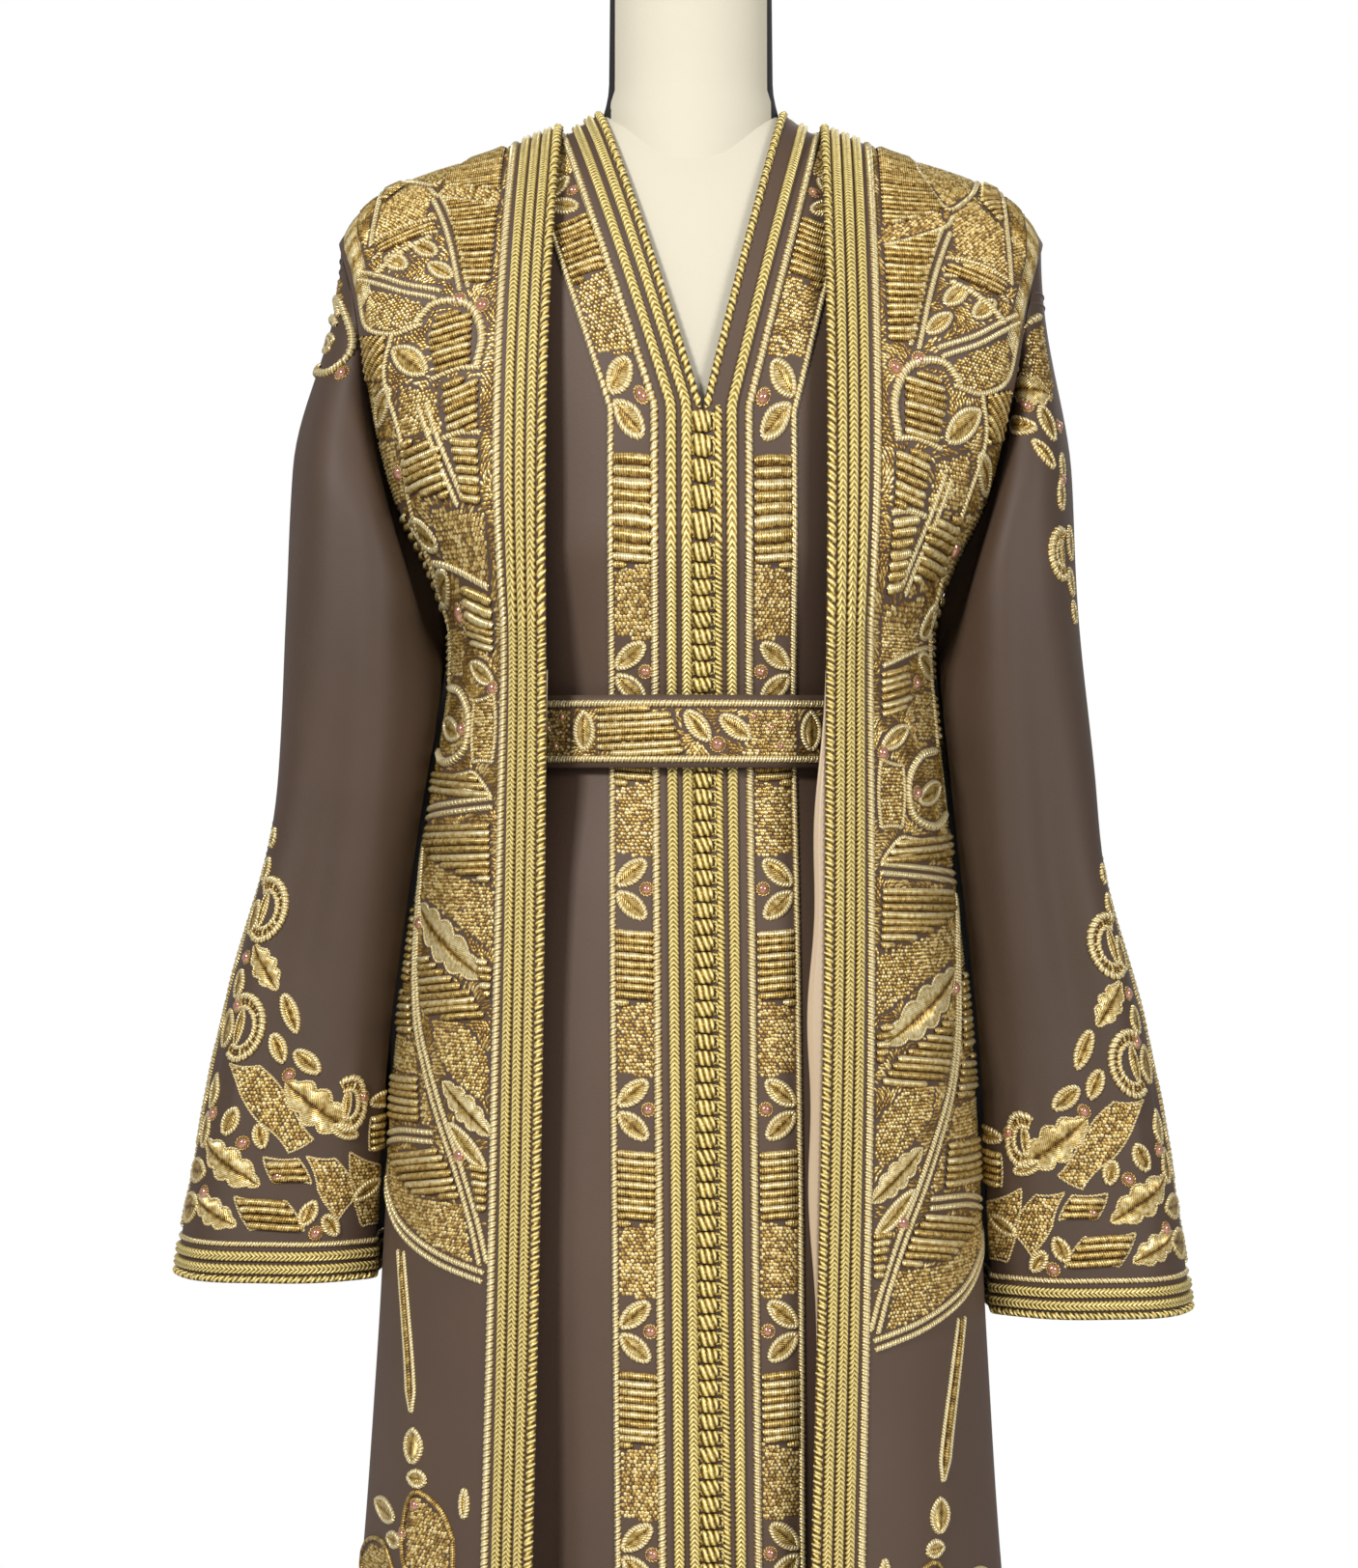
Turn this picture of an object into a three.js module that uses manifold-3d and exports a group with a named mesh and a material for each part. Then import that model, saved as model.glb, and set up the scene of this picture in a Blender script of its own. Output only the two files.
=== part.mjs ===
// A takchita, the two-layer ceremonial dress of Morocco, on a limbless dress form.
// The inner dress is sleeveless, buttons down the front from a V neck and is belted.
// The over-robe hangs open over it, with wide sleeves, braided edges and raised embroidery.
// Units are millimetres and +Z is up. The front faces -Y, and the wearer's left side is +X.
// The origin is the centre of the stand's foot, on the floor.
import * as THREE from "three";
import Module from "manifold-3d";

// Driving dimensions
const HEM = 14; // height of the hems above the floor
const DRESS_CLOTH = 1.2;
const ROBE_CLOTH = 1.6;
const LINING_CLOTH = 1.0;
const SEAM = 0.6; // gap between two pieces at a seam
const SHOULDER_GAP = 1; // gap between a front and the back along the shoulder seam
const LIE = 0.6; // gap between a panel and what is sewn on it
const FRONT = -1; // facing of a front panel along Y
const BACK = 1;

// Widths of the trimmings, across each front edge
const ROBE_BRAID = 37; // edge cord, three braids and a pale cord
const DRESS_BRAID = { from: 6.3, to: 29 }; // two braids beside the buttons
const DRESS_BAND = { from: 29.6, to: 61 }; // embroidered band between two cords
const BUTTON = { pitch: 10, half: 5.4, high: 6.2, neck: 3.9 };
const BELT = { low: 1040.5, tall: 47, thick: 1.6, side: 130.5, front: 107.6, back: 94.5 };
const FOOT = { radius: 150, thick: 12 };
const POLE = 14; // radius
const NECK_TOP = 1600;

// Smooth curve through a table's rows, with each slope taken from the neighbouring rows
function curveOf(rows, key, value) {
  const x = rows.map((row) => row[key]);
  const y = rows.map((row) => row[value]);
  const last = x.length - 1;
  const slope = x.map((_, i) => {
    const before = Math.max(i - 1, 0);
    const after = Math.min(i + 1, last);
    return (y[after] - y[before]) / (x[after] - x[before]);
  });
  return (at) => {
    let i = 0;
    while (i < last - 1 && at > x[i + 1]) i += 1;
    const step = x[i + 1] - x[i];
    const t = Math.min(Math.max((at - x[i]) / step, 0), 1);
    const rise = t * t * (3 - 2 * t);
    const leave = t * (1 - t) * (1 - t) * step * slope[i];
    const arrive = t * t * (t - 1) * step * slope[i + 1];
    return y[i] + (y[i + 1] - y[i]) * rise + leave + arrive;
  };
}

const ease = (t) => {
  const s = Math.min(Math.max(t, 0), 1);
  return s * s * (3 - 2 * s);
};

// A body layer: rings below the chest, and above it rows that rise over the shoulder.
// rings give the half width at each side and the depths in front of and behind it.
// shoulder gives the height of the shoulder line, armhole the half width by share of rise.
function layerOf(spec) {
  const half = (key) => curveOf(spec.rings, "z", key in spec.rings[0] ? key : "side");
  return {
    ...spec,
    right: half("right"),
    left: half("left"),
    front: curveOf(spec.rings, "z", "front"),
    back: curveOf(spec.rings, "z", "back"),
    shoulder: curveOf(spec.shoulder, "x", "z"),
    armhole: curveOf(spec.armhole, "lift", "x"),
  };
}

const SHOULDER_Y = 8;
const SQUARE = 2.25; // roundness of a ring: 2 is an ellipse
const SLOPE = 0.9; // how squarely the chest turns into the shoulder

const FORM = layerOf({
  chest: 1180,
  rise: 340,
  scoop: 0,
  rings: [
    { z: 790, side: 150, front: 96, back: 98 },
    { z: 860, side: 166, front: 114, back: 110 },
    { z: 960, side: 148, front: 104, back: 99 },
    { z: 1064, side: 119, front: 90, back: 83 },
    { z: 1110, side: 124, front: 95, back: 84 },
    { z: 1180, side: 139, front: 113, back: 90 },
  ],
  shoulder: [
    { x: 0, z: 1488 },
    { x: 58, z: 1479.4 },
    { x: 80, z: 1465.6 },
    { x: 100, z: 1457.5 },
    { x: 130, z: 1446.5 },
    { x: 166, z: 1431.8 },
  ],
  armhole: [
    { lift: 0, x: 139 },
    { lift: 0.35, x: 142 },
    { lift: 0.75, x: 156 },
    { lift: 1, x: 166 },
  ],
  neck: { x: 62, y: 58, z: 1465.2 },
});

const DRESS = layerOf({
  chest: 1180,
  rise: 340,
  scoop: 34,
  rings: [
    { z: HEM, side: 236, front: 178, back: 184 },
    { z: 250, side: 217, front: 163, back: 166 },
    { z: 502, side: 197, front: 148, back: 146 },
    { z: 700, side: 185, front: 138, back: 133 },
    { z: 860, side: 175, front: 127, back: 121 },
    { z: 960, side: 157, front: 115, back: 109 },
    { z: 1030, side: 129, front: 101, back: 93 },
    { z: 1064, side: 125, front: 97, back: 89 },
    { z: 1100, side: 130, front: 101, back: 91 },
    { z: 1180, side: 147, front: 121, back: 97 },
  ],
  shoulder: [
    { x: 0, z: 1494 },
    { x: 58, z: 1481.4 },
    { x: 80, z: 1467.4 },
    { x: 100, z: 1459.4 },
    { x: 130, z: 1448.4 },
    { x: 168, z: 1432.5 },
  ],
  armhole: [
    { lift: 0, x: 147 },
    { lift: 0.35, x: 146 },
    { lift: 0.75, x: 158 },
    { lift: 1, x: 168 },
  ],
  neck: { x: 91, y: 88, z: 1457 },
});

const ROBE = layerOf({
  chest: 1135,
  rise: 400,
  scoop: 44,
  rings: [
    { z: HEM, right: 262, left: 251, front: 202, back: 208 },
    { z: 250, right: 241, left: 230, front: 187, back: 190 },
    { z: 502, right: 218, left: 207, front: 172, back: 168 },
    { z: 648, right: 209, left: 198, front: 165, back: 156 },
    { z: 745, right: 204, left: 193, front: 160, back: 148 },
    { z: 843, right: 198, left: 188, front: 155, back: 140 },
    { z: 908, right: 190, left: 182, front: 151, back: 134 },
    { z: 979, right: 180, left: 174, front: 147, back: 126 },
    { z: 1038, right: 171, left: 168, front: 144, back: 118 },
    { z: 1066, right: 166, left: 165, front: 142, back: 114 },
    { z: 1103, right: 161, left: 161, front: 140, back: 112 },
    { z: 1135, right: 161, left: 161, front: 140, back: 114 },
  ],
  shoulder: [
    { x: 0, z: 1500 },
    { x: 60, z: 1480 },
    { x: 88, z: 1470.6 },
    { x: 110, z: 1462.3 },
    { x: 133, z: 1452.3 },
    { x: 179, z: 1438 },
    { x: 214, z: 1421 },
    { x: 236, z: 1394 },
  ],
  armhole: [
    { lift: 0, x: 161 },
    { lift: 0.13, x: 175 },
    { lift: 0.28, x: 196 },
    { lift: 0.55, x: 213 },
    { lift: 0.79, x: 223 },
    { lift: 1, x: 236 },
  ],
  neck: { x: 126, y: 108, z: 1446 },
});

// Where a layer ends above: along the shoulder line, or round the back of the neck
function topOf(layer, x, facing) {
  const share = Math.abs(x) / layer.neck.x;
  const seam = SHOULDER_Y + (facing * SHOULDER_GAP) / 2;
  if (facing === FRONT || share >= 1) return { y: seam, z: layer.shoulder(Math.abs(x)) };
  const side = layer.shoulder(layer.neck.x);
  return {
    y: seam + (layer.neck.y - seam) * Math.sqrt(1 - share * share),
    z: layer.neck.z + (side - layer.neck.z) * share * share,
  };
}

const turnAt = (layer, station) => ((station - layer.chest) / layer.rise) * (Math.PI / 2);

function halfWidth(layer, station, side) {
  if (station <= layer.chest) return side > 0 ? layer.left(station) : layer.right(station);
  return layer.armhole(Math.sin(turnAt(layer, station)) ** SLOPE);
}

// A point of a layer. station is the height up to the chest, then the length over the shoulder.
// across runs from -1 at the right side seam or armhole to 1 at the left one.
function bodyPoint(layer, station, across, facing) {
  const round = Math.max(1 - Math.abs(across) ** SQUARE, 0) ** (1 / SQUARE);
  const depthAt = facing === FRONT ? layer.front : layer.back;
  const x = halfWidth(layer, station, across) * across;
  if (station <= layer.chest) {
    return new THREE.Vector3(x, facing * depthAt(station) * round, station);
  }
  const turn = turnAt(layer, station);
  const lift = Math.sin(turn) ** SLOPE;
  const hold = Math.max(Math.cos(turn), 0) ** SLOPE;
  const top = topOf(layer, x, facing);
  const chestY = facing * depthAt(layer.chest) * round;
  const hollow = facing * layer.scoop * Math.sin(2 * turn) * across ** 4;
  const y = top.y + (chestY - top.y) * hold + hollow;
  return new THREE.Vector3(x, y, layer.chest + (top.z - layer.chest) * lift);
}

// One row of a layer as a curve from startX to a side, read by its length from the start
const ROW_SAMPLES = 48;
function rowCurve(layer, station, startX, side, facing) {
  const first = Math.asin(startX / halfWidth(layer, station, startX));
  const points = [];
  const lengths = [0];
  for (let k = 0; k <= ROW_SAMPLES; k += 1) {
    const across = Math.sin(first + ((side * Math.PI) / 2 - first) * (k / ROW_SAMPLES));
    points.push(bodyPoint(layer, station, across, facing));
    if (k > 0) lengths.push(lengths[k - 1] + points[k].distanceTo(points[k - 1]));
  }
  const length = lengths[ROW_SAMPLES];
  const at = (distance) => {
    let k = 0;
    while (k < ROW_SAMPLES - 1 && distance > lengths[k + 1]) k += 1;
    const share = (distance - lengths[k]) / (lengths[k + 1] - lengths[k]);
    return points[k].clone().lerp(points[k + 1], share);
  };
  return { length, at };
}

// How far the folds push the cloth out. A fold grows from its top down to the hem, or to full.
function foldDepth(folds, share, station) {
  return folds.reduce((sum, fold) => {
    const grown = ease((fold.top - station) / (fold.top - (fold.full ?? HEM)));
    const near = (share - fold.at) / fold.wide;
    return sum + fold.deep * grown * Math.exp(-near * near);
  }, 0);
}

// Outward directions of a grid of points, from its neighbouring points
function normalsOf(points, closed) {
  return points.map((row, i) =>
    row.map((_, j) => {
      const up = points[Math.min(i + 1, points.length - 1)][j];
      const down = points[Math.max(i - 1, 0)][j];
      const count = row.length;
      const next = closed ? row[(j + 1) % count] : row[Math.min(j + 1, count - 1)];
      const before = closed ? row[(j + count - 1) % count] : row[Math.max(j - 1, 0)];
      const along = up.clone().sub(down);
      return next.clone().sub(before).cross(along).normalize();
    }),
  );
}

// A sheet is a grid of points with outward directions. Rows run up and columns run across.
// flip is -1 where the columns run towards -X, which turns the cross product inwards.
function sheetOf(points, places, flip, closed = false) {
  const normals = normalsOf(points, closed);
  normals.forEach((row) => row.forEach((n) => n.multiplyScalar(flip)));
  return { points, normals, places, closed };
}

// A front or back panel. columns(length) gives the distances of its columns from its first edge.
function panelOf({ layer, stations, startX, facing, side, columns, folds }) {
  const places = [];
  const plain = stations.map((station) => {
    const row = rowCurve(layer, station, startX(station), side, facing);
    const distances = columns(row.length);
    places.push(distances);
    return distances.map(row.at);
  });
  const flip = side * -facing;
  const smooth = sheetOf(plain, places, flip);
  const folded = plain.map((row, i) =>
    row.map((point, j) => {
      const share = places[i][j] / places[i][row.length - 1];
      const depth = foldDepth(folds, share, stations[i]);
      return point.clone().addScaledVector(smooth.normals[i][j], depth);
    }),
  );
  return { ...sheetOf(folded, places, flip), stations };
}

// Reads a sheet at a row number that may lie between rows, a distance across, and a height above
function spot(sheet, row, distance, height) {
  const low = Math.min(Math.floor(row), sheet.points.length - 2);
  const [first, second] = [low, low + 1].map((i) => {
    const places = sheet.places[i];
    const last = places.length - 1;
    let j = 0;
    while (j < last - 1 && distance > places[j + 1]) j += 1;
    const share = (distance - places[j]) / (places[j + 1] - places[j]);
    const point = sheet.points[i][j].clone().lerp(sheet.points[i][j + 1], share);
    const normal = sheet.normals[i][j].clone().lerp(sheet.normals[i][j + 1], Math.min(Math.max(share, 0), 1));
    return { point, normal };
  });
  const normal = first.normal.lerp(second.normal, row - low).normalize();
  return first.point.lerp(second.point, row - low).addScaledVector(normal, height);
}

// A closed surface from points and triangles, turned to face outwards
function geometryOf(points, triangles) {
  let volume = 0;
  for (const [a, b, c] of triangles) {
    volume += points[a].dot(new THREE.Vector3().crossVectors(points[b], points[c]));
  }
  const faces = volume < 0 ? triangles.map(([a, b, c]) => [a, c, b]) : triangles;
  const geometry = new THREE.BufferGeometry().setFromPoints(points);
  geometry.setIndex(faces.flat());
  geometry.computeVertexNormals();
  return geometry;
}

// A cloth wall: the sheet moved out by outer(i, j) and in by inner, joined at every free edge
function wallOf(sheet, outer, inner) {
  const rows = sheet.points.length;
  const columns = sheet.points[0].length;
  const moved = (height) =>
    sheet.points.flatMap((row, i) =>
      row.map((point, j) => point.clone().addScaledVector(sheet.normals[i][j], height(i, j))),
    );
  const points = [...moved(outer), ...moved(() => -inner)];
  const skin = [];
  const spans = sheet.closed ? columns : columns - 1;
  for (let i = 0; i < rows - 1; i += 1) {
    for (let j = 0; j < spans; j += 1) {
      const a = i * columns + j;
      const b = i * columns + ((j + 1) % columns);
      skin.push([a, b, b + columns], [a, b + columns, a + columns]);
    }
  }
  const edges = new Set(skin.flatMap(([a, b, c]) => [`${a} ${b}`, `${b} ${c}`, `${c} ${a}`]));
  const under = rows * columns;
  const rim = [...edges].flatMap((edge) => {
    const [a, b] = edge.split(" ").map(Number);
    if (edges.has(`${b} ${a}`)) return [];
    return [
      [b, a, a + under],
      [b, a + under, b + under],
    ];
  });
  const lining = skin.map(([a, b, c]) => [a + under, c + under, b + under]);
  return geometryOf(points, [...skin, ...lining, ...rim]);
}

// A trimming: one profile of points carried from section to section, round a ring or capped
function sweepOf(sections, profile, closed) {
  const size = profile.length;
  const count = sections.length;
  const triangles = [];
  for (let s = 0; s < (closed ? count : count - 1); s += 1) {
    const here = s * size;
    const there = ((s + 1) % count) * size;
    for (let k = 0; k < size; k += 1) {
      const next = (k + 1) % size;
      triangles.push([here + k, here + next, there + next], [here + k, there + next, there + k]);
    }
  }
  if (!closed) {
    const outline = profile.map(([x, y]) => new THREE.Vector2(x, y));
    const end = (count - 1) * size;
    const flat = THREE.ShapeUtils.triangulateShape(outline, []);
    const turn = THREE.ShapeUtils.isClockWise(outline) ? 1 : -1;
    for (const [a, b, c] of flat) {
      const face = turn > 0 ? [a, c, b] : [a, b, c];
      const [p, q, r] = face;
      triangles.push([p, r, q], [end + p, end + q, end + r]);
    }
  }
  return geometryOf(sections.flat(), fixWinding(triangles));
}

// Turns the caps' triangles so that every edge is used once in each direction
function fixWinding(triangles) {
  const used = new Set();
  return triangles.map((triangle) => {
    const [a, b, c] = triangle;
    const clash = used.has(`${a} ${b}`) || used.has(`${b} ${c}`) || used.has(`${c} ${a}`);
    const [p, q, r] = clash ? [a, c, b] : triangle;
    [`${p} ${q}`, `${q} ${r}`, `${r} ${p}`].forEach((edge) => used.add(edge));
    return [p, q, r];
  });
}

// A trimming that lies on a panel's outer face, along its rows. Its profile starts with the
// underside, away from the front edge, so that its triangles turn the same way as the panel's.
function layOn(sheet, rows, profile, lie) {
  const sections = rows.map((row) =>
    profile.map(([distance, height]) => spot(sheet, row, distance, lie + height)),
  );
  return sweepOf(sections, profile, false);
}

const rowsOf = (sheet) => sheet.points.map((_, i) => i);

// Colours and finishes
const paint = (color, roughness, metalness) =>
  new THREE.MeshStandardMaterial({ color, roughness, metalness });
const brownCrepe = paint(0x5c4b41, 0.85, 0);
const goldBraid = paint(0xc2a33f, 0.5, 0.4);
const goldThread = paint(0xb98a2c, 0.45, 0.5);
const satin = paint(0xd9bb97, 0.35, 0);
const linen = paint(0xe9e0c9, 0.9, 0);
const black = paint(0x17161a, 0.7, 0);
const steel = paint(0x8c8c8f, 0.35, 0.9);

const takchita = new THREE.Group();
takchita.name = "takchita";
function add(name, geometry, material) {
  const mesh = new THREE.Mesh(geometry, material);
  mesh.name = name;
  takchita.add(mesh);
}

const SIDES = [
  { name: "right", side: -1 },
  { name: "left", side: 1 },
];

// The inner dress: the V neck starts at the share of the rise where its point is
const DRESS_STATIONS = [HEM, 140, 260, 380, 500, 610, 710, 800, 880, 950, 1000, 1035, 1064, 1095, 1135];
const V_LIFT = 0.3;
const V_STATION = DRESS.chest + (DRESS.rise * Math.asin(V_LIFT ** (1 / SLOPE))) / (Math.PI / 2);
const NECK_HALF = 60; // half width of the dress's neck at the shoulder line
const CENTRE_HALF = 0.5;
const dressFrontStations = [
  ...DRESS_STATIONS, DRESS.chest, 1209, V_STATION, 1270, 1305, 1340, 1375, 1410, 1445, 1480, 1506,
  DRESS.chest + DRESS.rise - 0.2,
];
const dressBackStations = [
  HEM, 260, 500, 710, 860, 960, 1020, 1064, 1110, DRESS.chest, 1245, 1310, 1375, 1440, 1490,
  DRESS.chest + DRESS.rise - 0.2,
];
// The button line hangs a little to the wearer's left of the middle
const buttonLine = curveOf(
  [
    { z: HEM, x: 18 },
    { z: 502, x: 13 },
    { z: 1040, x: 8 },
    { z: 1276, x: 7 },
  ],
  "z",
  "x",
);
function dressEdge(side, station) {
  const line = buttonLine(Math.min(station, V_STATION));
  const edge = line + side * CENTRE_HALF;
  if (station <= V_STATION) return edge;
  const lift = Math.sin(turnAt(DRESS, station)) ** SLOPE;
  return edge + ((side * NECK_HALF - edge) * (lift - V_LIFT)) / (1 - V_LIFT);
}

// share runs from the front edge to the side seam, and deep is how far the fold stands out
const DRESS_FOLDS = {
  right: [
    { at: 0.4, wide: 0.15, deep: -13, top: 760, full: 480 },
    { at: 0.58, wide: 0.06, deep: 7, top: 1030 },
    { at: 0.71, wide: 0.06, deep: -6, top: 980 },
    { at: 0.86, wide: 0.07, deep: 6, top: 1000 },
  ],
  left: [
    { at: 0.4, wide: 0.16, deep: -22, top: 760, full: 480 },
    { at: 0.61, wide: 0.06, deep: 7, top: 1030 },
    { at: 0.74, wide: 0.06, deep: -5, top: 940 },
    { at: 0.88, wide: 0.06, deep: 6, top: 960 },
  ],
  back: [
    { at: 0.14, wide: 0.04, deep: 7, top: 1000 },
    { at: 0.27, wide: 0.04, deep: -6, top: 940 },
    { at: 0.41, wide: 0.05, deep: 8, top: 1020 },
    { at: 0.56, wide: 0.04, deep: -7, top: 960 },
    { at: 0.69, wide: 0.05, deep: 7, top: 1000 },
    { at: 0.85, wide: 0.04, deep: -5, top: 920 },
  ],
};
const DRESS_BACK_COLUMNS = [0.11, 0.23, 0.35, 0.48, 0.64, 0.82, 1];
const dressPanel = {};
for (const { name, side } of SIDES) {
  const panel = panelOf({
    layer: DRESS,
    stations: dressFrontStations,
    startX: (station) => dressEdge(side, station),
    facing: FRONT,
    side,
    folds: DRESS_FOLDS[name],
    columns: (length) => {
      const beyond = length - DRESS_BAND.to - SEAM / 2;
      const rest = [0.25, 0.5, 0.75, 1].map((share) => DRESS_BAND.to + beyond * share);
      return [0, 15, 29.3, 45, DRESS_BAND.to, ...rest];
    },
  });
  dressPanel[name] = panel;
  const half = DRESS_CLOTH / 2;
  add(`dress_front_${name}`, wallOf(panel, () => half, half), brownCrepe);
}

// A back panel runs from the right side seam to the left one. Its columns are shares of the
// way from the middle to each side, and lie closer together under the neck.
function backPanel(layer, stations, folds, columns) {
  const shares = [...columns.map((share) => -share).reverse(), 0, ...columns];
  const rows = stations.map((station) => {
    const halves = [-1, 1].map((side) => rowCurve(layer, station, 0, side, BACK));
    return shares.map((share) => {
      const half = halves[share < 0 ? 0 : 1];
      return half.at(Math.abs(share) * (half.length - SEAM / 2));
    });
  });
  const places = rows.map(() => shares.map((share) => (share + 1) / 2));
  const plain = sheetOf(rows, places, -1);
  const folded = rows.map((row, i) =>
    row.map((point, j) => {
      const depth = foldDepth(folds, places[i][j], stations[i]);
      return point.clone().addScaledVector(plain.normals[i][j], depth);
    }),
  );
  return { ...sheetOf(folded, places, -1), stations };
}
const dressBack = backPanel(DRESS, dressBackStations, DRESS_FOLDS.back, DRESS_BACK_COLUMNS);
add("dress_back", wallOf(dressBack, () => DRESS_CLOTH / 2, DRESS_CLOTH / 2), brownCrepe);

// Braids, embroidered bands and back neck of the inner dress, as [distance, height] profiles
const DRESS_ON = DRESS_CLOTH / 2 + LIE;
const dressBraidProfile = [
  [DRESS_BRAID.from, 0],
  [15, 0],
  [DRESS_BRAID.to, 0],
  [23.5, 2.8],
  [17.5, 0.9],
  [11.5, 2.8],
];
const dressBandProfile = [
  [DRESS_BAND.from, 0],
  [45, 0],
  [DRESS_BAND.to, 0],
  [58.6, 3],
  [56, 1.4],
  [34.5, 1.4],
  [32, 3],
];
for (const { name } of SIDES) {
  const panel = dressPanel[name];
  add(`dress_braid_${name}`, layOn(panel, rowsOf(panel), dressBraidProfile, DRESS_ON), goldBraid);
  add(`dress_band_${name}`, layOn(panel, rowsOf(panel), dressBandProfile, DRESS_ON), goldThread);
}

// A back neck band: its inner edge is the neckline, and its outer edge meets the back panel
function neckBand(layer, inner, width, profile) {
  const seam = 1.9; // gap to the back panel, whose edge runs in straight steps
  const outerX = layer.neck.x - seam;
  const sections = [];
  const steps = 14;
  const start = 0.4; // degrees past the shoulder line
  for (let s = 0; s <= steps; s += 1) {
    const angle = THREE.MathUtils.degToRad(start + ((180 - 2 * start) * s) / steps);
    const round = Math.sin(angle);
    const edge = (x, y, z, side) =>
      new THREE.Vector3(
        -x * Math.cos(angle),
        SHOULDER_Y + (y - SHOULDER_Y) * round,
        z + (side - z) * (1 - round * round),
      );
    const near = edge(inner.x, inner.y, inner.z, layer.shoulder(inner.x));
    const far = edge(outerX, layer.neck.y - seam, layer.neck.z, layer.shoulder(layer.neck.x));
    const across = far.clone().sub(near);
    const along = new THREE.Vector3(Math.sin(angle), Math.cos(angle), 0);
    const out = along.clone().cross(across).normalize();
    if (out.z < 0) out.negate();
    sections.push(
      profile.map(([distance, height]) =>
        near.clone().addScaledVector(across, distance / width).addScaledVector(out, height),
      ),
    );
  }
  return sweepOf(sections, profile, false);
}
const dressNeckProfile = [
  [0, 0],
  [0, 1.6],
  [7, 3.8],
  [15, 1.8],
  [22, 3.8],
  [30, 1.4],
  [30, 0],
];
const dressNeck = { x: NECK_HALF, y: 67, z: 1476 };
add("dress_back_neck", neckBand(DRESS, dressNeck, 30, dressNeckProfile), goldBraid);

// Knotted buttons down the centre front, as one chain from the V neck to the hem
{
  const panel = dressPanel.left;
  const stations = dressFrontStations;
  const rowAt = (height) => {
    let i = 0;
    while (i < stations.length - 2 && height > panel.points[i + 1][0].z) i += 1;
    const low = panel.points[i][0].z;
    return i + (height - low) / (panel.points[i + 1][0].z - low);
  };
  const top = panel.points[stations.indexOf(V_STATION)][0].z - 4;
  const knots = Math.floor((top - HEM - 6) / BUTTON.pitch);
  const sections = [];
  const shape = (half, high) => [
    [-half, 0],
    [-half * 0.62, high],
    [half * 0.62, high],
    [half, 0],
  ];
  for (let s = 0; s <= 2 * knots; s += 1) {
    const row = rowAt(top - (s * BUTTON.pitch) / 2);
    const crest = s % 2 === 1;
    const outline = crest ? shape(BUTTON.half, BUTTON.high) : shape(BUTTON.neck, 2.4);
    const centre = spot(panel, row, 0, 0);
    const out = spot(panel, row, 0, 1).sub(centre).setX(0).normalize();
    sections.push(
      outline.map(([x, height]) => {
        const point = centre.clone().addScaledVector(out, DRESS_ON + height);
        point.x += x - CENTRE_HALF;
        return point;
      }),
    );
  }
  add("dress_buttons", sweepOf(sections, shape(1, 1), false), goldBraid);
}

// The belt: a stiff band over the dress's trimmings, embroidered between two cords
{
  const steps = 32;
  const profile = [
    [0, 0],
    [0, BELT.thick],
    [4, BELT.thick],
    [6.5, 3.6],
    [9, 2.4],
    [38, 2.4],
    [40.5, 3.6],
    [43, BELT.thick],
    [BELT.tall, BELT.thick],
    [BELT.tall, 0],
  ];
  const sections = Array.from({ length: steps }, (_, s) => {
    const angle = (2 * Math.PI * s) / steps;
    const power = 2 / SQUARE;
    const sine = Math.sign(Math.sin(angle)) * Math.abs(Math.sin(angle)) ** power;
    const cosine = Math.sign(Math.cos(angle)) * Math.abs(Math.cos(angle)) ** power;
    const depth = cosine > 0 ? BELT.front : BELT.back;
    const base = new THREE.Vector3(BELT.side * sine, -depth * cosine, BELT.low);
    const out = new THREE.Vector3(sine / BELT.side, -cosine / depth, 0).normalize();
    return profile.map(([up, height]) => {
      const point = base.clone().addScaledVector(out, height);
      point.z += up;
      return point;
    });
  });
  add("belt", sweepOf(sections, profile, true), goldThread);
}

// The over-robe: front panels, with the embroidery raised in their outer faces
// Distances of the two front edges from the middle
const ROBE_OPENING = [
  { station: HEM, right: 108, left: 66 },
  { station: 502, right: 101, left: 74 },
  { station: 693, right: 97, left: 79 },
  { station: 900, right: 94, left: 84 },
  { station: 1040, right: 93, left: 85.5 },
  { station: 1230, right: 93, left: 87 },
  { station: 1420, right: 87, left: 86 },
  { station: 1535, right: 86, left: 87 },
];
const robeStations = [
  HEM, 130, 250, 370, 480, 560, 630, 690, 740, 790, 840, 890, 940, 985, 1028, 1066, 1103, ROBE.chest,
  1168, 1203, 1240, 1280, 1320, 1360, 1400, 1440, 1475, 1505, 1525, ROBE.chest + ROBE.rise - 0.2,
];
const robeBackStations = [
  HEM, 160, 310, 460, 600, 720, 820, 910, 990, 1060, ROBE.chest, 1190, 1250, 1310, 1370, 1430, 1480,
  1515, ROBE.chest + ROBE.rise - 0.2,
];
const ROBE_NECK = 87; // half width of the robe's neck at the shoulder line
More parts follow.
